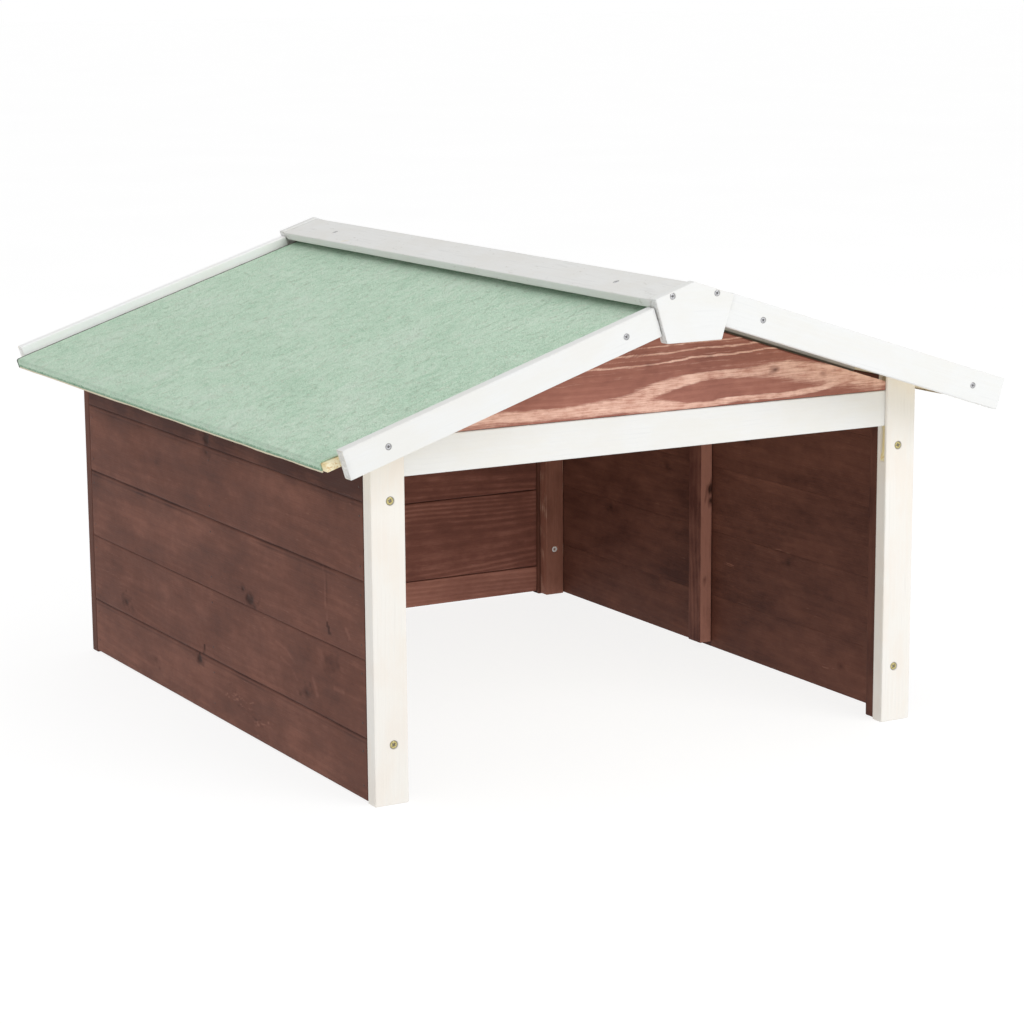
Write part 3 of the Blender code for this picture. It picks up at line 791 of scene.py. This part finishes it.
# Dark cracks and pale rubbed marks on the left wall: places, width and change of tone
WALL_STROKES = {
    ("left", 1): [([(0.063, 0.065), (0.061, 0.059)], 0.0022, -0.9)],
    ("left", 2): [([(0.05, 0.066), (0.049, 0.0765)], 0.0022, -0.9),
                          ([(-0.14, 0.12), (-0.163, 0.1175), (-0.186, 0.106)], 0.0022, 0.11),
                          ([(-0.15, 0.106), (-0.175, 0.101), (-0.19, 0.09)], 0.0022, 0.1),
                          ([(-0.228, 0.099), (-0.237, 0.085)], 0.005, 0.14),
                          ([(-0.277, 0.101), (-0.297, 0.101)], 0.004, 0.14)],
    ("left", 3): [([(-0.257, 0.22), (-0.26, 0.185), (-0.263, 0.163)], 0.0022, 0.14),
                          ([(-0.261, 0.22), (-0.264, 0.185)], 0.0022, -0.14),
                          ([(-0.263, 0.164), (-0.268, 0.155)], 0.003, -0.6),
                          ([(-0.306, 0.166), (-0.313, 0.159)], 0.0034, 0.18)],
    ("left", 5): [([(0.0289, 0.3), (0.0289, 0.316)], 0.004, -0.7)],
}
RUBBED_FROM = np.array((-0.012, 0.046))      # ends of the pale scribbles on the lowest board
RUBBED_TO = np.array((-0.105, 0.02))
RUBBED_MARKS = 44
# Tone of each board, foot to eave; the left top board's -0.12 is painted shade under the eave
WALL_TONES = {"left": (0.04, -0.01, 0.0, 0.0, -0.12), "right": (0.0, -0.03, -0.03, -0.02, 0.0)}
# How far the outer edges are eased at each joint, from the foot of the wall to the eave, and how
# dark the painted shade in that joint is
WALL_JOINTS = {"left": (0.2, 0.45, 0.16, 0.6, 0.3, 0.2),
               "right": (0.2, 0.4, 0.4, 0.3, 0.5, 0.2)}
EASED = 0.0024
# Painted shade on the inner faces of the wall boards
INSIDE_PAINTED_SHADE = 0.12
NEAR_EDGE = 0.01                             # the part of a board that moves with its edge
# How far each board's edge is moved towards its neighbour
JOINT_CLOSED = {"left": 0.00011, "right": 0.00022}
# Extra mesh lines on either side of a joint
JOINT_LINES = np.array([-5.2, -4.5, -3.8, -2, -1.2, -0.7, 0.7, 1.2, 2]) * 0.001
WALL_SPACING = (0.0035, 0.0013, 0.0026)
BATTEN_SPACING = (0.003, 0.0016, 0.0016)
BATTEN_TONES = {"front": -0.16, "middle": -0.26, "rear": 0.34}
MIDDLE_FRONT_PAINTED_LIGHT = 0.66                            # painted light: how much lighter a middle batten's front face is made
# Knots in the middle battens: height, distance outwards from the middle, radius, strength
BATTEN_KNOTS = ((0.194, 0.005, 0.004, 1.0), (0.18, 0.006, 0.003, 0.8),
                (0.085, -0.002, 0.0024, 0.6))


def stroke(local, places, width):
    """Nearness, 0 to 1, to a line through some places on a board's face."""
    nearest = np.full(len(local), 1.0)
    places = np.array(places)
    for start, end in zip(places[:-1], places[1:]):
        run = end - start
        share = np.clip((local[:, :2] - start) @ run / (run @ run), 0.0, 1.0)
        away = np.linalg.norm(local[:, :2] - start - share[:, None] * run, axis=1)
        nearest = np.minimum(nearest, away)
    return fade(nearest, width * 0.3, width)


def rubbed_marks():
    """Short pale scribbles scattered along a line on the lowest board."""
    draw = np.random.default_rng(31)
    marks = []
    for _ in range(RUBBED_MARKS):
        start = RUBBED_FROM + draw.uniform(0, 1) * (RUBBED_TO - RUBBED_FROM)
        start = start + draw.normal(size=2) * (0.011, 0.0055)
        bend = draw.uniform(-0.0025, 0.0025, 2)
        run = draw.uniform(0.003, 0.01)
        places = [start, start - (run / 2, bend[0]), start - (run, bend[1])]
        marks.append((places, 0.0012, draw.uniform(-0.15, 0.3)))
    return marks


def wall_board(side_name, row):
    """The shape and the tone, with painted shade, of one wall board (u is Y, v is Z, w is X)."""
    side = SIDES[side_name]
    seed = seed_of(f"{side_name}_wall_board_{row}")
    below, above = WALL_JOINTS[side_name][row - 1:row + 1]
    closed = JOINT_CLOSED[side_name]
    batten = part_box(f"{side_name}_wall_batten_middle")[0].y
    strokes = [*WALL_STROKES.get((side_name, row), ())]
    if (side_name, row) == ("left", 1):
        strokes += rubbed_marks()

    def at_edges(box):
        """Which points are on the outer face, and how far all are from foot and top."""
        outward = box[:, 2] * side
        height = box[:, 1]
        return outward > outward.max() - 0.0007, height - height.min(), height.max() - height

    def shape(local, box):
        outer, from_foot, to_top = at_edges(box)
        ease = below * fade(from_foot, 0, EASED) + above * fade(to_top, 0, EASED)
        if row == WALL_BOARDS:
            low, high = box.min(0), box.max(0)
            local = stretch(local, low, high, low[1], roof_height(local[:, 2], SKIN))
        local[:, 2] -= side * 0.001 * outer * ease
        local[:, 1] -= closed * (from_foot < NEAR_EDGE)
        local[:, 1] += closed * (to_top < NEAR_EDGE) * (row < WALL_BOARDS)
        return local

    def tone(local, box, normals):
        outer, from_foot, to_top = at_edges(box)
        shade = WALL_TONES[side_name][row - 1]
        shade = shade + 0.06 * wobble(local, (0.15, 0.06, 0.06), seed + 6)
        shade = shade + 0.04 * wobble(local, (0.04, 0.022, 0.03), seed + 7)
        uneven = 0.7 + 0.5 * wobble(local, (0.07, 0.05, 0.05), seed + 8)
        # Painted shade: dark lines in the joints, and a fainter one for a shallow groove below the
        # upper joint
        second = 0.6 * above * fade(np.abs(to_top - 0.0045), 0.0004, 0.002)
        dark = below * fade(from_foot, 0.0002, 0.002) + above * fade(to_top, 0.0002, 0.0026)
        # Painted shadow: a darker band on the outer face under the eave
        eave = local[:, 1] + 0.008 * wobble(local, (0.05, 0.05, 0.05), seed + 9)
        dark = (dark + second) * uneven + 0.6 * smooth_step(eave, 0.28, 0.33)
        for places, width, change in strokes:
            dark = dark - change / 0.55 * stroke(local, places, width)
        # Painted shade on the inner face: darker all over, and more just behind the middle batten
        behind = np.maximum(local[:, 0] - batten, 0.0)
        inner = INSIDE_PAINTED_SHADE + 0.3 * np.exp(-behind / 0.05) * (local[:, 0] > batten)
        return shade - 0.55 * dark * outer - inner * (~outer)

    return shape, tone


def build_wall_boards(side_name):
    for row in range(1, WALL_BOARDS + 1):
        node = f"{side_name}_wall_board_{row}"
        draw = np.random.default_rng(seed_of(node) + 11)
        log = Log(draw.uniform(-0.05, 0.05), SIDES[side_name] * draw.uniform(-0.05, -0.02),
                  (draw.uniform(-0.02, 0.02), draw.uniform(-0.03, 0.03)), 0.0065, 0.004)
        low, high = node_range(node, ALONG_WALL)
        joints = np.concatenate([low[1] + JOINT_LINES, high[1] + JOINT_LINES])
        joints = joints[(joints > low[1] + 0.0005) & (joints < high[1] - 0.0005)]
        shape, tone = wall_board(side_name, row)
        timber(node, ALONG_WALL, BROWN, log, WALL_KNOTS.get((side_name, row), ()),
               WALL_SPACING, 0.0003, shape, ((), joints, ()), relief=0.00002, tone=tone)


def build_wall_battens(side_name):
    """Three uprights: the middle one with painted light on its front face, the rear one worn and
    screwed.
    """
    for place, base in BATTEN_TONES.items():
        node = f"{side_name}_wall_batten_{place}"
        seed = seed_of(node)
        low, high = node_range(node, UPRIGHT)
        lit = MIDDLE_FRONT_PAINTED_LIGHT if place == "middle" else 0.0
        finish, knots, sinks, pale = BROWN, (), (), None

        def tone(local, box, normals):
            patch = 0.08 * wobble(local, (0.05, 0.02, 0.02), seed)
            # Painted light on the middle batten's front face
            return base + patch + lit * smooth_step(-normals[:, 2], 0.5, 0.9)

        def worn(local):
            near_edge = np.minimum(local[:, 1] - low[1], high[1] - local[:, 1])
            rubbed = 0.55 * fade(near_edge, 0.0006, 0.0022)
            return rubbed * patchy(local, (0.03, 0.02, 0.02), seed + 1)

        if place == "rear":
            pale = worn
            sinks = wall_sinks(f"rear_batten_screw_{side_name}_upper", low[2])
        if place == "middle":
            finish = LIGHT_BROWN
            centre = (low[1] + high[1]) / 2
            knots = [(height, centre + SIDES[side_name] * aside, size, strength)
                     for height, aside, size, strength in BATTEN_KNOTS]
        timber(node, UPRIGHT, finish, Log(0.03, -0.04), knots,
               BATTEN_SPACING, tone=tone, pale=pale, sinks=sinks)


def build_walls():
    for side_name in SIDES:
        build_wall_boards(side_name)
        build_wall_battens(side_name)


# ---------------------------------------------------------------- back wall
BACK_TONES = (0.34, 0.06, 0.02, 0.06, 0.04, 0.04)
OUTSIDE_DARKER = 0.16
KINK = 0.0827                        # where the roof line meets the upper edge of board 5
BACK_SPACING = (0.006, 0.0011, 0.0026)


def build_back():
    for row, inside in enumerate(BACK_TONES, 1):
        node = f"back_board_{row}"

        def tone(local, box, normals):
            patch = 0.06 * wobble(local, (0.12, 0.05, 0.05), seed_of("back") + row)
            inward = normals[:, 2] > 0.5
            return patch + inside * inward - OUTSIDE_DARKER * (normals[:, 2] < 0.5)

        log = Log(-0.12, 0.01 * row - 0.03, (0.03 * (-1) ** row, 0.0), 0.0072, 0.0085)
        timber(node, ACROSS, RIBBED_BROWN, log, spacing=BACK_SPACING,
               shape=under_roof(node, BACK_GAP) if row > 4 else None,
               extra=((-KINK, KINK) if row == 5 else (), (), ()), relief=0.00008, tone=tone)
    timber("back_centre_batten", UPRIGHT, BROWN, Log(0.04, 0.03))


# ---------------------------------------------------------------- roof
FELT_THICK = 0.0015
FOLD_RADIUS = 0.0028
FOLD_ARC = FOLD_RADIUS * math.pi / 2
CORNER_RETREAT = 0.009               # of the left sheet's front corner behind the bargeboard
FELT_SPACING = (0.003, 0.0026)
BARGE_SCREWS = {"left": (0.0386, 0.3107), "right": (0.044, 0.3231)}
CAP_SPACING = (0.006, 0.0015, 0.0022)
CAP_SCREW_Y, CAP_SCREW_DOWN = 0.321, 0.024
PLATE_SPACING = (0.0018, 0.0014, 0.0024)
PLATE_SCREW_X, PLATE_SCREW_Z = 0.0258, 0.4868


def build_roof_timber():
    # Painted shadow: a dark line on the batten where the gable board's top edge stands below it
    def painted_shade(local):
        above = local[:, 1] - ROOF_UNDERSIDE + GABLE_GAP
        return 1.2 * fade(above, 0.0022, 0.0032)

    for side_name, side in SIDES.items():
        for row in range(1, 5):
            node = f"roof_board_{side_name}_{row}"
            draw = np.random.default_rng(seed_of(node) + 7)
            log = Log(draw.uniform(-0.04, 0.04), -0.03, (0.0, draw.uniform(-0.02, 0.02)), 0.006)
            upper_edge = node_range(node, ALONG_RIDGE[side])[0][1]
            knots = [(draw.uniform(-0.35, 0.35), upper_edge + draw.uniform(0.02, 0.08), 0.005, 1.0)
                     for _ in range(3)]
            timber(node, ALONG_RIDGE[side], PINE, log, knots,
                   COARSE_SPACING, ragged=0.0003)

        for end_name in ENDS:
            timber(f"roof_batten_{end_name}_{side_name}", DOWN_SLOPE[side], BATTEN_WHITE_PAINTED_SHADE,
                   Log(0.04, 0.03), spacing=FINE_SPACING, ragged=0.0004,
                   pale=painted_shade)


def felt_path(reach, flat, start, top):
    """Place and normal on the outer face of the felt, by distance from the ridge."""
    angle = np.clip((reach - flat) / FOLD_RADIUS, 0.0, math.pi / 2)
    down = np.maximum(reach - flat - FOLD_ARC, 0.0)
    s = start + np.minimum(reach, flat) + FOLD_RADIUS * np.sin(angle)
    n = top - FOLD_RADIUS * (1 - np.cos(angle)) - down
    return s, n, np.sin(angle), np.cos(angle)


def build_felt():
    """A sheet of felt on each slope, dressed over the eave in a slightly uneven fold."""
    for side_name, side in SIDES.items():
        node = f"roof_felt_{side_name}"
        seed = seed_of(node)
        axes = axes_of(DOWN[side], Y, SQUARE[side])
        low, high = node_range(node, axes)
        flat = high[0] - FOLD_RADIUS - low[0]
        length = flat + FOLD_ARC + high[2] - FOLD_RADIUS - low[2]
        fold = np.linspace(flat, length, 18)
        reach_lines = np.concatenate([np.arange(0.0, flat, FELT_SPACING[0]), fold])
        y_lines = np.linspace(low[1], high[1], round((high[1] - low[1]) / FELT_SPACING[1]))
        y_lines = np.unique(np.concatenate([y_lines, high[1] - np.array([0.002, 0.0036])]))
        box, quads = box_surface([reach_lines, y_lines, np.array([0.0, 1.0])])
        reach, y, layer = box.T
        zero = np.zeros(len(box))

        at_fold = smooth_step(reach, flat - 0.012, flat + 0.002)
        eave = np.stack([zero, y, zero], 1)
        uneven = patchy(eave, (1.0, 0.07, 1.0), seed)
        reach = reach - at_fold * (reach > flat) * (reach - flat) * 0.05 * uneven
        s, n, out_s, out_n = felt_path(reach, flat, low[0], high[2])
        places = np.stack([reach, y, zero], 1)
        sunk = 0.00024 * patchy(places, (0.09, 0.12, 1.0), seed + 1)
        sunk = sunk + 0.0001 * patchy(places, (0.012, 0.006, 1.0), seed + 2, 30)
        lumps = patchy(places, (0.006, 0.011, 1.0), seed + 3, 24)
        sunk = sunk + at_fold * (0.00025 * uneven + 0.00016 * lumps)
        back = sunk + FELT_THICK * 0.8 * (1 - layer)
        if side < 0:
            retreat = CORNER_RETREAT * smooth_step(reach, flat - 0.045, flat)
            y = y + retreat * smooth_step(-y, 0.36, high[1])
        local = np.stack([s - out_s * back, y, n - out_n * back], 1)
        lower_edge = smooth_step(reach, length - 0.0028, length - 0.0016)
        dark_edge = 0.75 * smooth_step(reach, length - 0.0074, length - 0.0036)
        # Painted shadow: a dark strip along the rear edge, in the gap by the bargeboard
        gap = fade(high[1] - box[:, 1], 0.0024, 0.0036)
        attributes = {
            "grain": np.stack([reach, y, n], 1) + 3.0 * side,
            "edge": np.stack([gap, zero, dark_edge + 0.6 * lower_edge], 1),
        }
        mesh = new_mesh(node + "_sheet", local, quads, attributes, axes)
        show(node + "_sheet", mesh, FELT, node)


def barge_places(end_name, side_name):
    """The places of a bargeboard's screws, in the slope's directions, and its lower end."""
    low, high = node_range(f"bargeboard_{end_name}_{side_name}", DOWN_SLOPE[SIDES[side_name]])
    face = low[2] if end_name == "front" else high[2]
    middle = (low[1] + high[1]) / 2
    places = [(low[0] + offset, middle, face) for offset in BARGE_SCREWS[side_name]]
    return places, high[0]


def build_bargeboards():
    """Boards down the ends of the roof, with roughly sawn lower ends and sunken screws."""
    for end_name, side_name in itertools.product(ENDS, SIDES):
        places, lower_end = barge_places(end_name, side_name)

        def bare(local, box):
            return 0.16 * (box[:, 0] > lower_end - TINY)

        # the rear boards take the lighter white: painted light
        timber(f"bargeboard_{end_name}_{side_name}", DOWN_SLOPE[SIDES[side_name]],
               TRIM_WHITE if end_name == "front" else TRIM_WHITE_PAINTED_LIGHT,
               Log(0.05, 0.03, (0.02, 0.0), 0.006), relief=0.00004, ragged=0.0014,
               warp=0.0002, sinks=[(*place, SMALL_HEAD) for place in places], bare=bare)


def build_ridge_cap():
    for side_name, side in SIDES.items():
        node = f"ridge_cap_board_{side_name}"
        low, high = node_range(node, ALONG_RIDGE[side])

        def shape(local, box):
            inner = -local[:, 2] * math.tan(ROOF_PITCH) + SKIN / 2
            return stretch(local, low, high, inner, high[1])

        timber(node, ALONG_RIDGE[side], CAP_GREY,
               Log(0.02, -0.03, (0.01, 0.02), 0.006), [(0.262, high[1] - 0.006, 0.003, 1.0)],
               CAP_SPACING, shape=shape, ragged=0.0003,
               sinks=[(end * CAP_SCREW_Y, low[1] + CAP_SCREW_DOWN, high[2], SMALL_HEAD)
                      for end in ENDS.values()])


def build_end_plates():
    """The five-sided plates over the joint of the bargeboards at each end of the ridge."""
    for end_name in ENDS:
        node = f"ridge_end_plate_{end_name}"
        low, high = node_range(node, ACROSS)
        points = node_points(node)
        foot = np.abs(points[points[:, 2] < low[1] + 0.0012, 0]).max()

        def shape(local, box):
            side_share = local[:, 0] / high[0]
            up_share = (local[:, 1] - low[1]) / (high[1] - low[1])
            corner = np.stack([side_share * foot, np.full(len(local), low[1])], 1)
            peak_x = side_share * high[0]
            peak = np.stack([peak_x, high[1] - np.abs(peak_x) * math.tan(ROOF_PITCH)], 1)
            local[:, :2] = corner + up_share[:, None] * (peak - corner)
            return local

        face = high[2] if end_name == "front" else low[2]
        timber(node, ACROSS, TRIM_WHITE, Log(-0.06, 0.03, (0.01, 0.0), 0.006),
               spacing=PLATE_SPACING, shape=shape, extra=((0.0,), (), ()), relief=0.00003,
               ragged=0.0003, sinks=[(side * PLATE_SCREW_X, PLATE_SCREW_Z, face, SMALL_HEAD)
                                     for side in SIDES.values()])


# ---------------------------------------------------------------- fasteners
# Mesh name, radius, dome and finish of each kind of screw
SCREW_KINDS = {"front_post": ("wall screw", SCREW_RADIUS, 0.00025, YELLOW_ZINC),
               # the rear batten screws take the lighter zinc: painted light
               "rear_batten": ("batten screw", SCREW_RADIUS, 0.00025, ZINC_PAINTED_LIGHT),
               "roof": ("roof screw", SMALL_HEAD, 0.0002, GREY_ZINC)}
SCREW_SPOKES = 64
NAIL_SPOKES = 12
NAIL_RADIUS = 0.0011
NAIL_INSET = 0.014                   # from a board's edges
NAIL_SUNK = 0.0001
WALL_TOP = 0.366                     # upper edge for the nails in the top wall board
PAIR = 0.005                         # from the middle of the back to each of two nails


def quad_strip(rows, spokes):
    """Point numbers of some rings of points, one row for each ring, and of their neighbours."""
    numbers = np.arange(rows * spokes).reshape(rows, spokes)
    return numbers, np.roll(numbers, -1, axis=1)


def screw_head(name, radius, dome):
    """A countersunk head with a cross recess, its face at z = 0 and its shank below."""
    rings = np.concatenate([np.linspace(0.04, 0.86, 15), [0.93, 0.975, 1.0]]) * radius
    angles = np.arange(SCREW_SPOKES) * 2 * math.pi / SCREW_SPOKES
    grid_r, grid_a = np.meshgrid(rings, angles, indexing="ij")
    x, y = grid_r * np.cos(grid_a), grid_r * np.sin(grid_a)
    beside, along = np.minimum(abs(x), abs(y)) / radius, np.maximum(abs(x), abs(y)) / radius
    recess = fade(beside, 0.1, 0.19) * fade(along, 0.4, 0.62) * (1 - 0.35 * along)
    z = -dome * (grid_r / radius) ** 2 - 0.3 * radius * recess
    z = z - 0.1 * radius * smooth_step(grid_r / radius, 0.92, 1.0)
    skirt = np.array([(1.0, -0.22), (0.5, -0.75), (0.44, -1.9), (0.12, -2.2)]) * radius
    x = np.concatenate([x, skirt[:, :1] * np.cos(angles)])
    y = np.concatenate([y, skirt[:, :1] * np.sin(angles)])
    z = np.concatenate([z, skirt[:, 1:] * np.ones(SCREW_SPOKES)])
    points = np.stack([x, y, z], -1).reshape(-1, 3)
    numbers, after = quad_strip(len(x), SCREW_SPOKES)
    quads = np.stack([numbers[:-1], numbers[1:], after[1:], after[:-1]], -1).reshape(-1, 4)
    caps = []
    for pole, row, order in ((len(points), numbers[0], 1), (len(points) + 1, numbers[-1], -1)):
        for first in range(0, SCREW_SPOKES, 2):
            caps.append([pole, *np.take(row, range(first, first + 3), mode="wrap")][::order])
    points = np.concatenate([points, [[0, 0, points[0, 2]], [0, 0, skirt[-1, 1]]]])
    recess_darkening = np.concatenate([recess.ravel(), np.zeros(skirt.shape[0] * SCREW_SPOKES), [1.0, 0.0]])
    return new_mesh(name, points, np.concatenate([quads, caps]), {"recess": recess_darkening})


def screw_places():
    """Name, kind, place and facing of every screw, and the CAD node it replaces, if any."""
    for side_name, side in SIDES.items():
        for kind, row in itertools.product(("front_post", "rear_batten"), ("lower", "upper")):
            node = f"{kind}_screw_{side_name}_{row}"
            point = (middle_of(node, 0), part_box(node)[0].y + 0.0001, middle_of(node, 2))
            yield node + "_head", kind, point, -Y, node
        for end_name, end in ENDS.items():
            for number, place in enumerate(barge_places(end_name, side_name)[0], 1):
                yield (f"bargeboard_screw_{end_name}_{side_name}_{number}", "roof",
                       DOWN_SLOPE[side] @ place - end * HEAD_SUNK * Y, end * Y, None)
            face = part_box(f"ridge_end_plate_{end_name}")[0 if end < 0 else 1].y
            yield (f"end_plate_screw_{end_name}_{side_name}", "roof",
                   (side * PLATE_SCREW_X, face - end * HEAD_SUNK, PLATE_SCREW_Z), end * Y, None)
            low, high = node_range(f"ridge_cap_board_{side_name}", ALONG_RIDGE[side])
            place = (end * CAP_SCREW_Y, low[1] + CAP_SCREW_DOWN, high[2] - HEAD_SUNK)
            yield (f"ridge_cap_screw_{end_name}_{side_name}", "roof",
                   ALONG_RIDGE[side] @ place, SQUARE[side], None)


def build_screws():
    draw = np.random.default_rng(20)
    meshes = {kind: screw_head(*shape) for kind, (*shape, _) in SCREW_KINDS.items()}
    for name, kind, point, normal, node in screw_places():
        piece = show(name, meshes[kind], SCREW_KINDS[kind][-1], node)
        facing = Vector(normal).to_track_quat("Z", "Y").to_matrix().to_4x4()
        turn = Matrix.Rotation(draw.uniform(0, 3), 4, "Z")
        piece.matrix_world = Matrix.Translation(point) @ facing @ turn


def nail_group(name, places, normal):
    """Small domed nail heads, all facing one way, as one piece."""
    profile = [(1.0, -0.5), (1.0, 0.0), (0.8, 0.16), (0.45, 0.28), (0.06, 0.32)]
    angles = np.arange(NAIL_SPOKES) * 2 * math.pi / NAIL_SPOKES
    turn = np.array(Vector(normal).to_track_quat("Z", "Y").to_matrix())
    rings = [[(r * math.cos(a), r * math.sin(a), h) for a in angles] for r, h in profile]
    head = np.array(rings).reshape(-1, 3) * NAIL_RADIUS @ turn.T
    numbers, after = quad_strip(len(profile), NAIL_SPOKES)
    quads = np.stack([numbers[:-1], after[:-1], after[1:], numbers[1:]], -1).reshape(-1, 4)
    lids = [[row[i], row[i + 1], row[-2 - i], row[-1 - i]][::order]
            for row, order in ((numbers[-1], 1), (numbers[0], -1))
            for i in range(NAIL_SPOKES // 2 - 1)]
    quads = np.concatenate([quads, lids])
    points = np.concatenate([head + place for place in places])
    faces = np.concatenate([quads + len(head) * i for i in range(len(places))])
    show(name, new_mesh(name, points, faces, {}), NAIL)


def build_nails():
    """Two nails in each wall board at each batten, and four in each back board but the top."""
    heights = []
    for row in range(1, WALL_BOARDS + 1):
        low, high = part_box(f"left_wall_board_{row}")
        heights += [low.z + NAIL_INSET, min(high.z, WALL_TOP) - NAIL_INSET]
    for side_name, side in SIDES.items():
        x = side * max(abs(corner.x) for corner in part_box(f"{side_name}_wall_board_1"))
        columns = [middle_of(f"{side_name}_wall_batten_{place}", 1) for place in BATTEN_TONES]
        places = [(x - side * NAIL_SUNK, y, height) for y in columns for height in heights]
        nail_group(f"{side_name}_wall_nails", places, side * X)
    places = []
    for row in range(1, len(BACK_TONES)):
        low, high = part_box(f"back_board_{row}")
        places += [(offset, high.y - NAIL_SUNK, height) for offset in (-PAIR, PAIR)
                   for height in (low.z + NAIL_INSET, high.z - NAIL_INSET)]
    nail_group("back_wall_nails", places, Y)


# ---------------------------------------------------------------- studio
CAMERA_AIM = Vector((0.0539, 0.0305, 0.1892))
CAMERA_DISTANCE = 3.2
CAMERA_YAW = math.radians(29.436)
CAMERA_PITCH = math.radians(11.028)
CAMERA_ROLL = math.radians(-0.403)
CAMERA_LENS = 98.34
SENSOR_WIDTH = 36.0
FLOOR_REACH = 40.0
FLOOR_GLOW = 0.85
FLOOR_DARK, FLOOR_PALE = (0.19, 0.19, 0.19), (0.21, 0.21, 0.21)
SURROUND_LIGHT = 0.62
# Name, place, aim, width and power
LIGHTS = (("key light", (1.3, -3.2, 2.3), (0.0, 0.0, 0.2), 2.4, 60.0),
          ("top light", (-0.4, 0.4, 3.6), (0.0, 0.0, 0.3), 3.0, 24.0))
WHITE = (1.0, 1.0, 1.0, 1.0)


def build_camera():
    data = bpy.data.cameras.new("camera")
    data.lens = CAMERA_LENS
    data.sensor_width = SENSOR_WIDTH
    camera = bpy.data.objects.new("camera", data)
    turn = Euler((math.pi / 2 - CAMERA_PITCH, 0.0, -CAMERA_YAW)).to_matrix().to_4x4()
    turn = turn @ Matrix.Rotation(CAMERA_ROLL, 4, "Z")
    place = CAMERA_AIM + turn.to_3x3() @ Vector((0.0, 0.0, CAMERA_DISTANCE))
    camera.matrix_world = Matrix.Translation(place) @ turn
    bpy.context.scene.collection.objects.link(camera)
    bpy.context.scene.camera = camera


def soft_light(name, place, aim, width, power):
    data = bpy.data.lights.new(name, "AREA")
    data.size = width
    data.energy = power
    light = bpy.data.objects.new(name, data)
    light.location = place
    facing = Vector(aim) - Vector(place)
    light.rotation_euler = facing.to_track_quat("-Z", "Y").to_euler()
    bpy.context.scene.collection.objects.link(light)


def build_floor():
    data = bpy.data.meshes.new("floor")
    far = FLOOR_REACH
    corners = [(-far, -far, 0), (far, -far, 0), (far, far, 0), (-far, far, 0)]
    data.from_pydata(corners, [], [(0, 1, 2, 3)])
    floor = bpy.data.objects.new("floor", data)
    recipe = Recipe("pale studio floor", "Object", Roughness=0.9, Specular_IOR_Level=0.1,
                    Emission_Color=WHITE, Emission_Strength=FLOOR_GLOW)
    soft = recipe.noise((1.5,) * 3)
    colour = recipe.ramp(soft, (0.3, FLOOR_DARK), (0.7, FLOOR_PALE))
    recipe.put(recipe.shader.inputs["Base Color"], colour)
    data.materials.append(recipe.material)
    bpy.context.scene.collection.objects.link(floor)
    floor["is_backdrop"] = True


def build_world():
    """A pale surround that lights softly and is seen as white."""
    world = bpy.data.worlds.new("studio")
    world.use_nodes = True
    bpy.context.scene.world = world
    tree = world.node_tree
    lit = tree.nodes["Background"]
    lit.inputs["Color"].default_value = WHITE
    lit.inputs["Strength"].default_value = SURROUND_LIGHT
    seen = tree.nodes.new("ShaderNodeBackground")
    seen.inputs["Color"].default_value = WHITE
    path = tree.nodes.new("ShaderNodeLightPath")
    mix = tree.nodes.new("ShaderNodeMixShader")
    tree.links.new(path.outputs["Is Camera Ray"], mix.inputs["Fac"])
    tree.links.new(lit.outputs["Background"], mix.inputs[1])
    tree.links.new(seen.outputs["Background"], mix.inputs[2])
    tree.links.new(mix.outputs["Shader"], tree.nodes["World Output"].inputs["Surface"])


def build_studio():
    build_camera()
    build_floor()
    build_world()
    for light in LIGHTS:
        soft_light(*light)
    bpy.context.scene.view_settings.view_transform = "Standard"


build_studio()
build_posts()
build_lintel()
build_gable_board()
build_walls()
build_back()
build_roof_timber()
build_felt()
build_bargeboards()
build_ridge_cap()
build_end_plates()
build_screws()
build_nails()

VISUAL_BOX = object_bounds()
boxes = {"cad": CAD_BOX, "visual": VISUAL_BOX}
{key: [list(corner) for corner in box] for key, box in boxes.items()}
